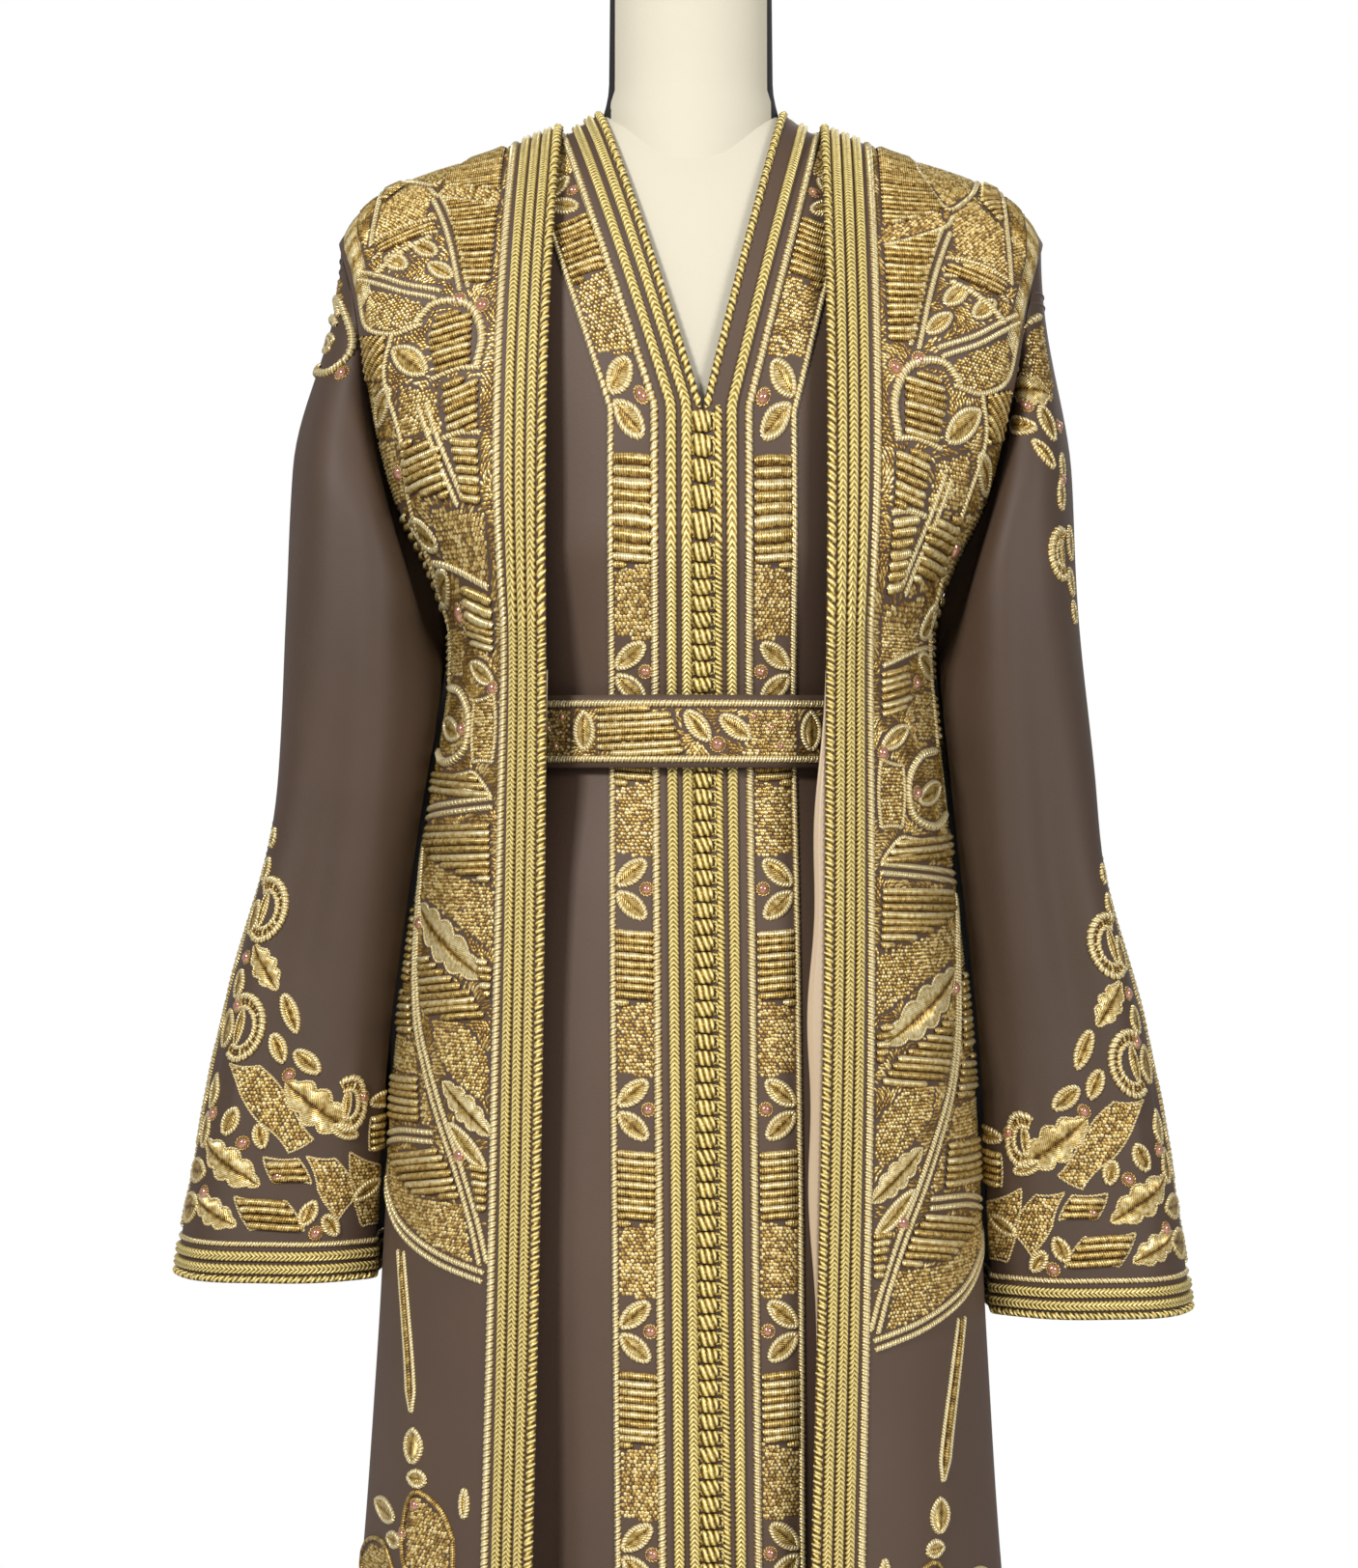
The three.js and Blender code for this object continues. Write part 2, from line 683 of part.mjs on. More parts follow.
const ROBE_FOLDS = {
  right: [
    { at: 0.3, wide: 0.09, deep: -5, top: 760 },
    { at: 0.47, wide: 0.08, deep: 8, top: 800 },
    { at: 0.66, wide: 0.07, deep: -7, top: 700 },
    { at: 0.84, wide: 0.07, deep: 9, top: 820 },
  ],
  left: [
    { at: 0.03, wide: 0.18, deep: 4, top: 1000 },
    { at: 0.33, wide: 0.08, deep: 7, top: 740 },
    { at: 0.52, wide: 0.08, deep: -6, top: 700 },
    { at: 0.78, wide: 0.08, deep: 8, top: 820 },
  ],
  back: [
    { at: 0.1, wide: 0.04, deep: 9, top: 980 },
    { at: 0.21, wide: 0.04, deep: -8, top: 900 },
    { at: 0.34, wide: 0.05, deep: 11, top: 1040 },
    { at: 0.47, wide: 0.04, deep: -9, top: 920 },
    { at: 0.6, wide: 0.05, deep: 12, top: 1060 },
    { at: 0.74, wide: 0.04, deep: -8, top: 880 },
    { at: 0.88, wide: 0.04, deep: 9, top: 1000 },
  ],
};

// The embroidered field ends below on a line that falls from the side seam to the braid.
// It hangs lower on the wearer's left.
const FIELD = {
  right: { side: 770, braid: 705 },
  left: { side: 735, braid: 665 },
  high: 1.4,
};
function fieldRelief(field, distance, share, station) {
  const floor = field.side + (field.braid - field.side) * (1 - share);
  if (distance < ROBE_BRAID || station < floor) return 0;
  const lattice = Math.cos(2 * Math.PI * (distance / 62 + station / 118));
  return FIELD.high + 0.9 * Math.max(lattice, 0);
}
const ROBE_BACK_COLUMNS = [0.1, 0.2, 0.3, 0.41, 0.53, 0.67, 0.83, 1];
const robePanel = {};
for (const { name, side } of SIDES) {
  const edge = curveOf(ROBE_OPENING, "station", name);
  const panel = panelOf({
    layer: ROBE,
    stations: robeStations,
    startX: (station) => side * edge(station),
    facing: FRONT,
    side,
    folds: ROBE_FOLDS[name],
    columns: (length) => {
      const from = ROBE_BRAID + 3;
      const beyond = length - from - SEAM / 2;
      const rest = Array.from({ length: 8 }, (_, k) => from + (beyond * (k + 1)) / 8);
      return [0, 12.5, 25, ROBE_BRAID, from, ...rest];
    },
  });
  robePanel[name] = panel;
  const raised = (i, j) => {
    const distance = panel.places[i][j];
    const share = distance / panel.places[i][panel.places[i].length - 1];
    return ROBE_CLOTH / 2 + fieldRelief(FIELD[name], distance - 1, share, panel.stations[i]);
  };
  add(`robe_front_${name}`, wallOf(panel, raised, ROBE_CLOTH / 2), brownCrepe);
}
const robeBack = backPanel(ROBE, robeBackStations, ROBE_FOLDS.back, ROBE_BACK_COLUMNS);
add("robe_back", wallOf(robeBack, () => ROBE_CLOTH / 2, ROBE_CLOTH / 2), brownCrepe);

// Edge braids of the robe: an edge cord, three braids and a pale cord
const ROBE_ON = ROBE_CLOTH / 2 + LIE;
const robeBraidProfile = [
  [-1.2, 0.2],
  [12.5, 0],
  [25, 0],
  [ROBE_BRAID - 0.2, 0],
  [34, 3.1],
  [30, 0.8],
  [24.5, 2.8],
  [18.5, 0.9],
  [12.5, 2.8],
  [6.5, 0.9],
  [2.7, 3.6],
];
for (const { name } of SIDES) {
  const panel = robePanel[name];
  add(`robe_braid_${name}`, layOn(panel, rowsOf(panel), robeBraidProfile, ROBE_ON), goldBraid);
}
const robeNeckProfile = [
  [0, -0.8],
  [0, 1.2],
  [5, 4],
  [11, 1.6],
  [17, 4],
  [23, 1.6],
  [29, 4],
  [ROBE_BRAID, 0.8],
  [ROBE_BRAID, -0.8],
];
const robeNeck = { x: ROBE_NECK, y: 82, z: 1474.5 };
add("robe_back_neck", neckBand(ROBE, robeNeck, ROBE_BRAID, robeNeckProfile), goldBraid);

// Satin facings inside the robe's front edges. The left one sags out past its edge.
const FACING = { wide: 25, low: 600, high: 1150 };
const FACING_SAG = {
  right: [{ at: 1150, wide: 60, out: 2 }],
  left: [
    { at: 985, wide: 55, out: 7 },
    { at: 880, wide: 60, out: 9 },
    { at: 780, wide: 50, out: 5 },
  ],
};
for (const { name } of SIDES) {
  const panel = robePanel[name];
  const rows = rowsOf(panel).filter((i) => {
    const station = panel.stations[i];
    return station > FACING.low && station < FACING.high;
  });
  const under = -(ROBE_CLOTH / 2 + LIE);
  const profile = [
    [0, 0],
    [12.5, 0],
    [FACING.wide, 0],
    [FACING.wide, -LINING_CLOTH],
    [12.5, -LINING_CLOTH],
    [0, -LINING_CLOTH],
  ];
  const sections = rows.map((row) => {
    const out = FACING_SAG[name].reduce((sum, sag) => {
      const near = (panel.stations[row] - sag.at) / sag.wide;
      return sum + sag.out * Math.exp(-near * near);
    }, 0);
    return profile.map(([distance, height]) =>
      spot(panel, row, distance === 0 ? 1 - out : distance, under + height),
    );
  });
  add(`robe_facing_${name}`, sweepOf(sections, profile, false), satin);
}

// Sleeves: each starts inside the armhole and hangs as an open tube to its cuff.
// outer and inner are distances from the middle of the body, depth is half of front to back.
const SLEEVES = {
  right: [
    { z: 701, outer: 346, inner: 214, depth: 60, y: 6 },
    { z: 752, outer: 338, inner: 211, depth: 59, y: 6 },
    { z: 895, outer: 309, inner: 200, depth: 62, y: 6 },
    { z: 992, outer: 283, inner: 188, depth: 70, y: 6 },
    { z: 1038, outer: 276, inner: 181, depth: 76, y: 6 },
    { z: 1142, outer: 270, inner: 170, depth: 86, y: 6 },
    { z: 1233, outer: 266, inner: 170, depth: 82, y: 6 },
    { z: 1317, outer: 260, inner: 170, depth: 68, y: 7 },
    { z: 1400, outer: 246, inner: 170, depth: 50, y: 8 },
  ],
  left: [
    { z: 677, outer: 336, inner: 207, depth: 60, y: 6 },
    { z: 745, outer: 327, inner: 203, depth: 59, y: 6 },
    { z: 875, outer: 303, inner: 196, depth: 62, y: 6 },
    { z: 972, outer: 278, inner: 186, depth: 70, y: 6 },
    { z: 1038, outer: 270, inner: 179, depth: 76, y: 6 },
    { z: 1142, outer: 258, inner: 170, depth: 86, y: 6 },
    { z: 1233, outer: 254, inner: 170, depth: 82, y: 6 },
    { z: 1317, outer: 250, inner: 170, depth: 68, y: 7 },
    { z: 1400, outer: 243, inner: 170, depth: 50, y: 8 },
  ],
};
// Rows of a sleeve: heights above the cuff, and then shares of the rest up to the armhole
const SLEEVE_LOW = [0, 24, 27, 62, 98, 135, 175, 220, 270];
const SLEEVE_HIGH = [0.25, 0.5, 0.7, 0.84, 0.93, 0.975, 1];
const SLEEVE_COLUMNS = 18;
const SETTLE = 0.22; // share of the sleeve over which it turns from the armhole to hanging
const SLEEVE_FOLDS = [
  { turn: 60, wide: 26, deep: 4 },
  { turn: 118, wide: 24, deep: -5 },
  { turn: 205, wide: 30, deep: 4 },
  { turn: 262, wide: 26, deep: -5 },
  { turn: 318, wide: 28, deep: 4 },
];

// Point of the armhole: 0 is the shoulder tip, 90 the front, 180 the underarm, 270 the back
function armholeStart(turn, side) {
  const facing = turn <= 180 ? FRONT : BACK;
  const fall = turn <= 180 ? turn : 360 - turn;
  const station = ROBE.chest + ROBE.rise * (1 - fall / 180);
  const lean = (1 + Math.cos(THREE.MathUtils.degToRad(turn))) / 2;
  const edge = bodyPoint(ROBE, station, side, facing);
  const inside = bodyPoint(ROBE, station, side * 0.96, facing);
  const centre = new THREE.Vector3(edge.x, SHOULDER_Y, (edge.z + 1265) / 2);
  const towards = centre.sub(edge).setX(0).normalize();
  const inwards = inside.sub(edge).normalize();
  edge.addScaledVector(towards, 3 + 2.5 * lean);
  edge.addScaledVector(inwards, 3 * lean);
  edge.x += side * 4.2 * (1 - lean);
  if (turn === 180) edge.z += 0.6;
  return edge;
}

// Where the sleeve's embroidery is raised: all round above the cuff, rising to a point outside
const CUFF_BRAID = 22;
function sleeveRelief(turn, above) {
  const outside = Math.min(turn, 360 - turn);
  const reach = 118 + 165 * Math.exp(-((outside / 34) ** 2));
  return above > CUFF_BRAID + 3 && above < reach ? 1.6 : 0;
}
for (const { name, side } of SIDES) {
  const table = SLEEVES[name];
  const [outer, inner, depth, middle] = ["outer", "inner", "depth", "y"].map((key) =>
    curveOf(table, "z", key),
  );
  const cuff = table[0].z;
  const turns = Array.from({ length: SLEEVE_COLUMNS }, (_, k) => (360 * k) / SLEEVE_COLUMNS);
  const starts = turns.map((turn) => armholeStart(turn, side));
  const levels = [
    ...SLEEVE_LOW.map((above) => ({ above, rise: 0 })),
    ...SLEEVE_HIGH.map((rise) => ({ above: SLEEVE_LOW[SLEEVE_LOW.length - 1], rise })),
  ];
  const rows = levels.map(({ above, rise }) =>
    turns.map((turn, j) => {
      const start = starts[j];
      const bend = cuff + above;
      const z = bend + (start.z - bend) * rise;
      const share = (start.z - z) / (start.z - cuff);
      const angle = THREE.MathUtils.degToRad(turn);
      const fold = SLEEVE_FOLDS.reduce((sum, item) => {
        const away = ((turn - item.turn + 540) % 360) - 180;
        return sum + item.deep * Math.exp(-((away / item.wide) ** 2));
      }, 0);
      const swell = fold * ease(share / 0.3) * (1 - 0.5 * ease((share - 0.8) / 0.2));
      const halfX = (outer(z) - inner(z)) / 2;
      const hang = new THREE.Vector3(
        side * ((outer(z) + inner(z)) / 2 + (halfX + swell * 0.4) * Math.cos(angle)),
        middle(z) - (depth(z) + swell) * Math.sin(angle),
        z,
      );
      const point = start.clone().lerp(hang, ease(share / SETTLE));
      point.z = z;
      return point;
    }),
  );
  const places = rows.map((row) => row.map((_, j) => j));
  const sheet = sheetOf(rows, places, -side, true);
  const raised = (i, j) => {
    const { above, rise } = levels[i];
    return ROBE_CLOTH / 2 + (rise > 0 ? 0 : sleeveRelief(turns[j], above));
  };
  add(`robe_sleeve_${name}`, wallOf(sheet, raised, ROBE_CLOTH / 2), brownCrepe);

  // Cuff braid: an edge cord and two braids round the sleeve's hem
  const profile = [
    [CUFF_BRAID - 0.5, 0],
    [0.5, 0],
    [0.5, 2.6],
    [3, 3.4],
    [6, 1.2],
    [9.5, 3],
    [13, 1.2],
    [17.5, 3],
  ];
  const sections = turns.map((_, j) =>
    profile.map(([above, height]) => {
      const share = above / SLEEVE_LOW[1];
      const normal = sheet.normals[0][j].clone().lerp(sheet.normals[1][j], share).normalize();
      return rows[0][j].clone().lerp(rows[1][j], share).addScaledVector(normal, ROBE_ON + height);
    }),
  );
  add(`robe_cuff_braid_${name}`, sweepOf(sections, profile, true), goldBraid);
}

// The dress form: a smooth torso with a neck, on a pole and a round foot
const wasm = await Module();
wasm.setup();
function manifoldOf(geometry) {
  return new wasm.Manifold(
    new wasm.Mesh({
      numProp: 3,
      vertProperties: new Float32Array(geometry.getAttribute("position").array),
      triVerts: new Uint32Array(geometry.index.array),
    }),
  );
}
function bufferOf(solid) {
  const mesh = solid.getMesh();
  const geometry = new THREE.BufferGeometry();
  geometry.setAttribute("position", new THREE.BufferAttribute(new Float32Array(mesh.vertProperties), 3));
  geometry.setIndex([...mesh.triVerts]);
  geometry.computeVertexNormals();
  return geometry;
}
// Rings stacked from the bottom up, closed by a flat fan at each end
function stackOf(rings) {
  const size = rings[0].length;
  const triangles = [];
  for (let i = 0; i < rings.length - 1; i += 1) {
    for (let j = 0; j < size; j += 1) {
      const a = i * size + j;
      const b = i * size + ((j + 1) % size);
      triangles.push([a, b, b + size], [a, b + size, a + size]);
    }
  }
  const points = rings.flat();
  for (const [first, up] of [
    [0, false],
    [(rings.length - 1) * size, true],
  ]) {
    const centre = new THREE.Vector3();
    for (let j = 0; j < size; j += 1) centre.add(points[first + j]);
    points.push(centre.divideScalar(size));
    for (let j = 0; j < size; j += 1) {
      const edge = [first + j, first + ((j + 1) % size)];
      triangles.push(up ? [edge[0], edge[1], points.length - 1] : [edge[1], edge[0], points.length - 1]);
    }
  }
  return geometryOf(points, triangles);
}
const FORM_STATIONS = [
  790, 825, 860, 910, 960, 1012, 1064, 1120, FORM.chest, 1220, 1265, 1310, 1355, 1400, 1445, 1485,
  FORM.chest + FORM.rise - 2,
];
const FORM_COLUMNS = 24;
const torsoRings = FORM_STATIONS.map((station) =>
  Array.from({ length: FORM_COLUMNS }, (_, k) => {
    const angle = (2 * Math.PI * k) / FORM_COLUMNS;
    const facing = Math.cos(angle) > 1e-9 ? FRONT : BACK;
    return bodyPoint(FORM, station, Math.sin(angle), facing);
  }),
);
const NECK_RINGS = [
  { z: 1380, half: 54, deep: 40, y: 4 },
  { z: 1440, half: 58, deep: 52, y: 4 },
  { z: 1476, half: 55.5, deep: 52, y: 3 },
  { z: 1510, half: 55, deep: 51, y: 1 },
  { z: NECK_TOP - 1, half: 54, deep: 50, y: -2 },
];
const neckRings = NECK_RINGS.map(({ z, half, deep, y }) =>
  Array.from({ length: FORM_COLUMNS }, (_, k) => {
    const angle = (2 * Math.PI * k) / FORM_COLUMNS;
    return new THREE.Vector3(half * Math.sin(angle), y - deep * Math.cos(angle), z);
  }),
);
const torso = manifoldOf(stackOf(torsoRings)).add(manifoldOf(stackOf(neckRings)));
add("form_torso", bufferOf(torso), linen);

function turned(profile, segments) {
  const outline = profile.map(([radius, z]) => new THREE.Vector2(radius, z));
  return new THREE.LatheGeometry(outline, segments).rotateX(Math.PI / 2);
}
const cap = turned(
  [
    [0, 0],
    [53, 0],
    [55, 3],
    [52, 9],
    [20, 13],
    [0, 14],
  ],
  FORM_COLUMNS,
);
cap.translate(0, -2, NECK_TOP - 1 + SEAM);
add("form_neck_cap", cap, black);
add(
  "stand_pole",
  turned(
    [
      [0, FOOT.thick + SEAM],
      [34, FOOT.thick + SEAM],
      [30, FOOT.thick + 10],
      [POLE, FOOT.thick + 18],
      [POLE, 760],
      [24, 772],
      [24, 790 - SEAM],
      [0, 790 - SEAM],
    ],
    12,
  ),
  steel,
);
add(
  "stand_foot",
  turned(
    [
      [0, 0],
      [FOOT.radius, 0],
      [FOOT.radius, FOOT.thick - 4],
      [FOOT.radius - 6, FOOT.thick],
      [0, FOOT.thick],
    ],
    32,
  ),
  black,
);

export default takchita;
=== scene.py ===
"""Takchita on a dress form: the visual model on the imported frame.

Tables are in millimetres and Blender's objects in metres. The front faces -Y, the wearer's left is +X.
A panel is read by its station, up and over the shoulder, and by its distance from its front edge.
"""
import math

import bpy
import numpy as np
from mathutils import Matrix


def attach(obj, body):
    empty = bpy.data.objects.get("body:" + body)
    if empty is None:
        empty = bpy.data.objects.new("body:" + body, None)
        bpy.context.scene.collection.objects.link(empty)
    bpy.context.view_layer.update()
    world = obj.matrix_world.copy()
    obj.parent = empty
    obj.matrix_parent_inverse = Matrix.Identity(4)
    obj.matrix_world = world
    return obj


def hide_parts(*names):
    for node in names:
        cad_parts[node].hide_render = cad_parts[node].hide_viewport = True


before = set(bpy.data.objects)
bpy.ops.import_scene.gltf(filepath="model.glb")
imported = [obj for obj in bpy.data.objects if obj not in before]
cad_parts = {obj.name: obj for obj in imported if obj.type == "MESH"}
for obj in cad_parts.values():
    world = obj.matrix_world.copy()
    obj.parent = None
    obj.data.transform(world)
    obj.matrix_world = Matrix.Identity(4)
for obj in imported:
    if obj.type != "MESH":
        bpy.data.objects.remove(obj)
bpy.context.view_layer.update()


# Camera: level with the belt, 2.4 m in front of the form's middle plane, a little to the wearer's right.
# One pixel of the 1624 in the frame's height is 0.65 mm at that plane.
MM = 0.001
CAMERA_AWAY = 2.4
FRAME_HIGH = 1624 * 0.65 * MM
SENSOR = 36.0
camera_data = bpy.data.cameras.new("camera")
camera_data.sensor_width = SENSOR
camera_data.lens = SENSOR * CAMERA_AWAY / FRAME_HIGH
camera = bpy.data.objects.new("camera", camera_data)
camera.location = (-0.008, -CAMERA_AWAY, 1.03)
camera.rotation_euler = (math.pi / 2, 0, 0)
bpy.context.scene.collection.objects.link(camera)
bpy.context.scene.camera = camera
bpy.context.scene.view_settings.view_transform = "Standard"


# Floor and light: a plain pale floor under the stand, large soft lamps, and even white light all round.
# The floor ends behind the form, so the photograph's level view sees plain white beyond it.
def soft_lamp(name, place, aim, size, watts):
    """A square lamp turned to face a point: tilt = atan2(flat distance, height), then about Z."""
    lamp = bpy.data.lights.new(name, "AREA")
    lamp.size = size
    lamp.energy = watts
    holder = bpy.data.objects.new(name, lamp)
    holder.location = place
    away = np.array(place) - np.array(aim)
    flat = math.hypot(away[0], away[1])
    holder.rotation_euler = (math.atan2(flat, away[2]), 0, math.atan2(away[0], -away[1]))
    bpy.context.scene.collection.objects.link(holder)


soft_lamp("key", (-1.6, -2.5, 2.7), (0, 0, 1.15), 0.6, 80)
soft_lamp("fill", (2.0, -2.5, 1.9), (0, 0, 1.1), 1.0, 47)
soft_lamp("behind", (0.6, 2.4, 2.3), (0, 0, 1.1), 1.6, 22)
world = bpy.data.worlds.new("white_room")
bpy.context.scene.world = world
world.use_nodes = True
world_nodes = world.node_tree
backdrop = world_nodes.nodes["Background"]
backdrop.inputs["Color"].default_value = (1, 1, 1, 1)
backdrop.inputs["Strength"].default_value = 1.0
room = world_nodes.nodes.new("ShaderNodeBackground")  # what the object is lit by
room.inputs["Color"].default_value = (0.97, 0.975, 1, 1)
room.inputs["Strength"].default_value = 0.34
seen = world_nodes.nodes.new("ShaderNodeLightPath")
either = world_nodes.nodes.new("ShaderNodeMixShader")
world_nodes.links.new(seen.outputs["Is Camera Ray"], either.inputs["Fac"])
world_nodes.links.new(room.outputs[0], either.inputs[1])
world_nodes.links.new(backdrop.outputs[0], either.inputs[2])
world_nodes.links.new(either.outputs[0], world_nodes.nodes["World Output"].inputs["Surface"])


def plain(name, color, roughness, metallic=0.0, sheen=0.0):
    """A material with one shader; returns the material, its node tree and the shader."""
    material = bpy.data.materials.new(name)
    material.use_nodes = True
    tree = material.node_tree
    shader = tree.nodes["Principled BSDF"]
    shader.inputs["Base Color"].default_value = (*color, 1)
    shader.inputs["Roughness"].default_value = roughness
    shader.inputs["Metallic"].default_value = metallic
    shader.inputs["Sheen Weight"].default_value = sheen
    return material, tree, shader


floor_mesh = bpy.data.meshes.new("floor")
floor_mesh.from_pydata([(-1.6, -2.2, 0), (1.6, -2.2, 0), (1.6, 1.4, 0), (-1.6, 1.4, 0)], [], [(0, 1, 2, 3)])
floor_mesh.materials.append(plain("pale_floor", (0.8, 0.8, 0.79), 0.8)[0])
floor = bpy.data.objects.new("floor", floor_mesh)
bpy.context.scene.collection.objects.link(floor)


# Inner dress: two fronts and a back of brown crepe, sewn at the sides and shoulders, sleeveless.
# The fronts meet on a button line that hangs a little to the wearer's left, below a V neck.
# Below the belt the cloth falls in soft folds.
HEM = 14.0  # height of the hems above the floor
FRONT, BACK = -1.0, 1.0
RIGHT, LEFT = -1.0, 1.0  # the wearer's sides
SIDES = {"right": RIGHT, "left": LEFT}


def node(tree, kind, **values):
    """A node with its properties and input values set by name."""
    made = tree.nodes.new(kind)
    for key, value in values.items():
        if hasattr(made, key):
            setattr(made, key, value)
        else:
            made.inputs[key.replace("_", " ")].default_value = value
    return made


def noise(tree, scale, detail):
    """A noise pattern on the object's own coordinates."""
    place = node(tree, "ShaderNodeTexCoord").outputs["Object"]
    pattern = node(tree, "ShaderNodeTexNoise", Scale=scale, Detail=detail)
    tree.links.new(place, pattern.inputs["Vector"])
    return pattern.outputs["Fac"]


def bumped(tree, shader, height, strength, distance):
    """Joins a height value to the shader's normal."""
    bump = node(tree, "ShaderNodeBump")
    bump.inputs["Strength"].default_value = strength
    bump.inputs["Distance"].default_value = distance
    tree.links.new(height, bump.inputs["Height"])
    tree.links.new(bump.outputs["Normal"], shader.inputs["Normal"])


def colored(tree, shader, factor, stops):
    """Joins a colour ramp, given as (position, colour) stops, to the shader's colour."""
    ramp = node(tree, "ShaderNodeValToRGB")
    for index, (position, color) in enumerate(stops):
        element = ramp.color_ramp.elements[index] if index < 2 else ramp.color_ramp.elements.new(position)
        element.position = position
        element.color = (*color, 1)
    tree.links.new(factor, ramp.inputs["Fac"])
    tree.links.new(ramp.outputs["Color"], shader.inputs["Base Color"])


def crepe_material(name, dark, light):
    """Taupe brown crepe: fine pebbled grain, a little sheen, slight change of depth."""
    material, tree, shader = plain(name, dark, 0.62, sheen=0.05)
    shader.inputs["Sheen Tint"].default_value = (0.75, 0.66, 0.6, 1)
    shader.inputs["Sheen Roughness"].default_value = 0.4
    colored(tree, shader, noise(tree, 9.0, 3.0), [(0.3, dark), (0.7, light)])
    bumped(tree, shader, noise(tree, 950.0, 2.0), 0.25, 0.0004)
    return material


CREPE = crepe_material("brown_crepe", (0.085, 0.049, 0.030), (0.097, 0.057, 0.035))


def build(name, points, faces, materials, stands_for, uv=None, tone=None, kinds=None):
    """A mesh piece. faces is a list of whole-number arrays with 3 or 4 corners a row."""
    mesh = bpy.data.meshes.new(name)
    corners = np.concatenate([f.ravel() for f in faces]).astype(np.int32)
    sizes = np.concatenate([np.full(len(f), f.shape[1], np.int32) for f in faces])
    mesh.vertices.add(len(points))
    mesh.vertices.foreach_set("co", (np.asarray(points) * MM).astype(np.float32).ravel())
    mesh.loops.add(len(corners))
    mesh.loops.foreach_set("vertex_index", corners)
    mesh.polygons.add(len(sizes))
    mesh.polygons.foreach_set("loop_start", (np.cumsum(sizes) - sizes).astype(np.int32))
    mesh.polygons.foreach_set("use_smooth", np.ones(len(sizes), bool))
    if kinds is not None:
        mesh.polygons.foreach_set("material_index", kinds.astype(np.int32))
    if uv is not None:
        layer = mesh.uv_layers.new(name="UVMap")
        layer.data.foreach_set("uv", uv[corners].astype(np.float32).ravel())
    if tone is not None:
        mesh.attributes.new("tone", "FLOAT", "POINT").data.foreach_set("value", tone.astype(np.float32))
    for material in materials:
        mesh.materials.append(material)
    mesh.update(calc_edges=True)
    piece = bpy.data.objects.new(name, mesh)
    bpy.context.scene.collection.objects.link(piece)
    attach(piece, "root")
    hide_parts(*stands_for)
    return piece


def grid_faces(rows, columns, ring=False):
    """Four-cornered faces of a grid of points, joined round each row where it is a ring."""
    i, j = np.meshgrid(np.arange(rows - 1), np.arange(columns if ring else columns - 1), indexing="ij")
    a = i * columns + j
    b = i * columns + (j + 1) % columns
    return np.stack([a, b, b + columns, a + columns], -1).reshape(-1, 4)


def outward(points, ring=False):
    """Unit directions across a grid of points: the cross product of its row and column steps."""
    if ring:
        across = np.roll(points, -1, 1) - np.roll(points, 1, 1)
    else:
        across = np.gradient(points, axis=1)
    up = np.gradient(points, axis=0)
    out = np.cross(across, up)
    return out / np.maximum(np.linalg.norm(out, axis=2, keepdims=True), 1e-9)


def cloth(name, points, out, thick, stands_for, material, ring=False):
    """A closed thin shell of cloth: the grid moved half its thickness out and in, with its edges joined.
    """
    rows, columns = points.shape[:2]
    count = rows * columns
    skins = [points + out * thick / 2, points - out * thick / 2]
    both = np.concatenate([skin.reshape(-1, 3) for skin in skins])
    top = grid_faces(rows, columns, ring)
    under = top[:, ::-1] + count
    index = np.arange(count).reshape(rows, columns)
    if ring:
        loops = [np.append(index[0], index[0, 0])[::-1], np.append(index[-1], index[-1, 0])]
    else:
        loops = [np.concatenate([index[0][::-1], index[1:, 0], index[-1][1:], index[:-1, -1][::-1]])]
    rims = [np.stack([loop[:-1], loop[1:], loop[1:] + count, loop[:-1] + count], -1) for loop in loops]
    faces = [top, under, *rims]
    # The rim and both skins turn over together where the panel runs towards -X
    row, column = rows // 2, columns // 2
    corner = points[row, column]
    normal = np.cross(points[row, column + 1] - corner, points[row + 1, column] - corner)
    if np.dot(normal, out[row, column]) < 0:
        faces = [f[:, ::-1] for f in faces]
    piece = build(name, both, faces, [material], stands_for)


def smooth_curve(rows):
    """A cubic through (x, y) rows, whose slope at a row is taken from its neighbours.

    y = y0 + (y1 - y0) t^2 (3 - 2t) + t (1 - t)^2 h s0 + t^2 (t - 1) h s1, for a step h and slopes s0, s1.
    """
    x, y = np.array(rows, float).T
    last = len(x) - 1
    before = np.maximum(np.arange(last + 1) - 1, 0)
    after = np.minimum(np.arange(last + 1) + 1, last)
    slope = (y[after] - y[before]) / (x[after] - x[before])

    def at(value):
        i = np.clip(np.searchsorted(x, value) - 1, 0, last - 1)
        step = x[i + 1] - x[i]
        t = np.clip((value - x[i]) / step, 0, 1)
        leave = t * (1 - t) ** 2 * step * slope[i]
        arrive = t * t * (t - 1) * step * slope[i + 1]
        return y[i] + (y[i + 1] - y[i]) * t * t * (3 - 2 * t) + leave + arrive

    return at


def ease(t):
    """Smooth step: 3 t^2 - 2 t^3 for t held between 0 and 1."""
    s = np.clip(t, 0, 1)
    return s * s * (3 - 2 * s)


SHOULDER_Y = 8.0
SHOULDER_GAP = 1.0  # between the fronts and the back at the shoulder
SQUARE = 2.25  # power of the squared ovals
SLOPE = 0.9  # power of the rise over the shoulder


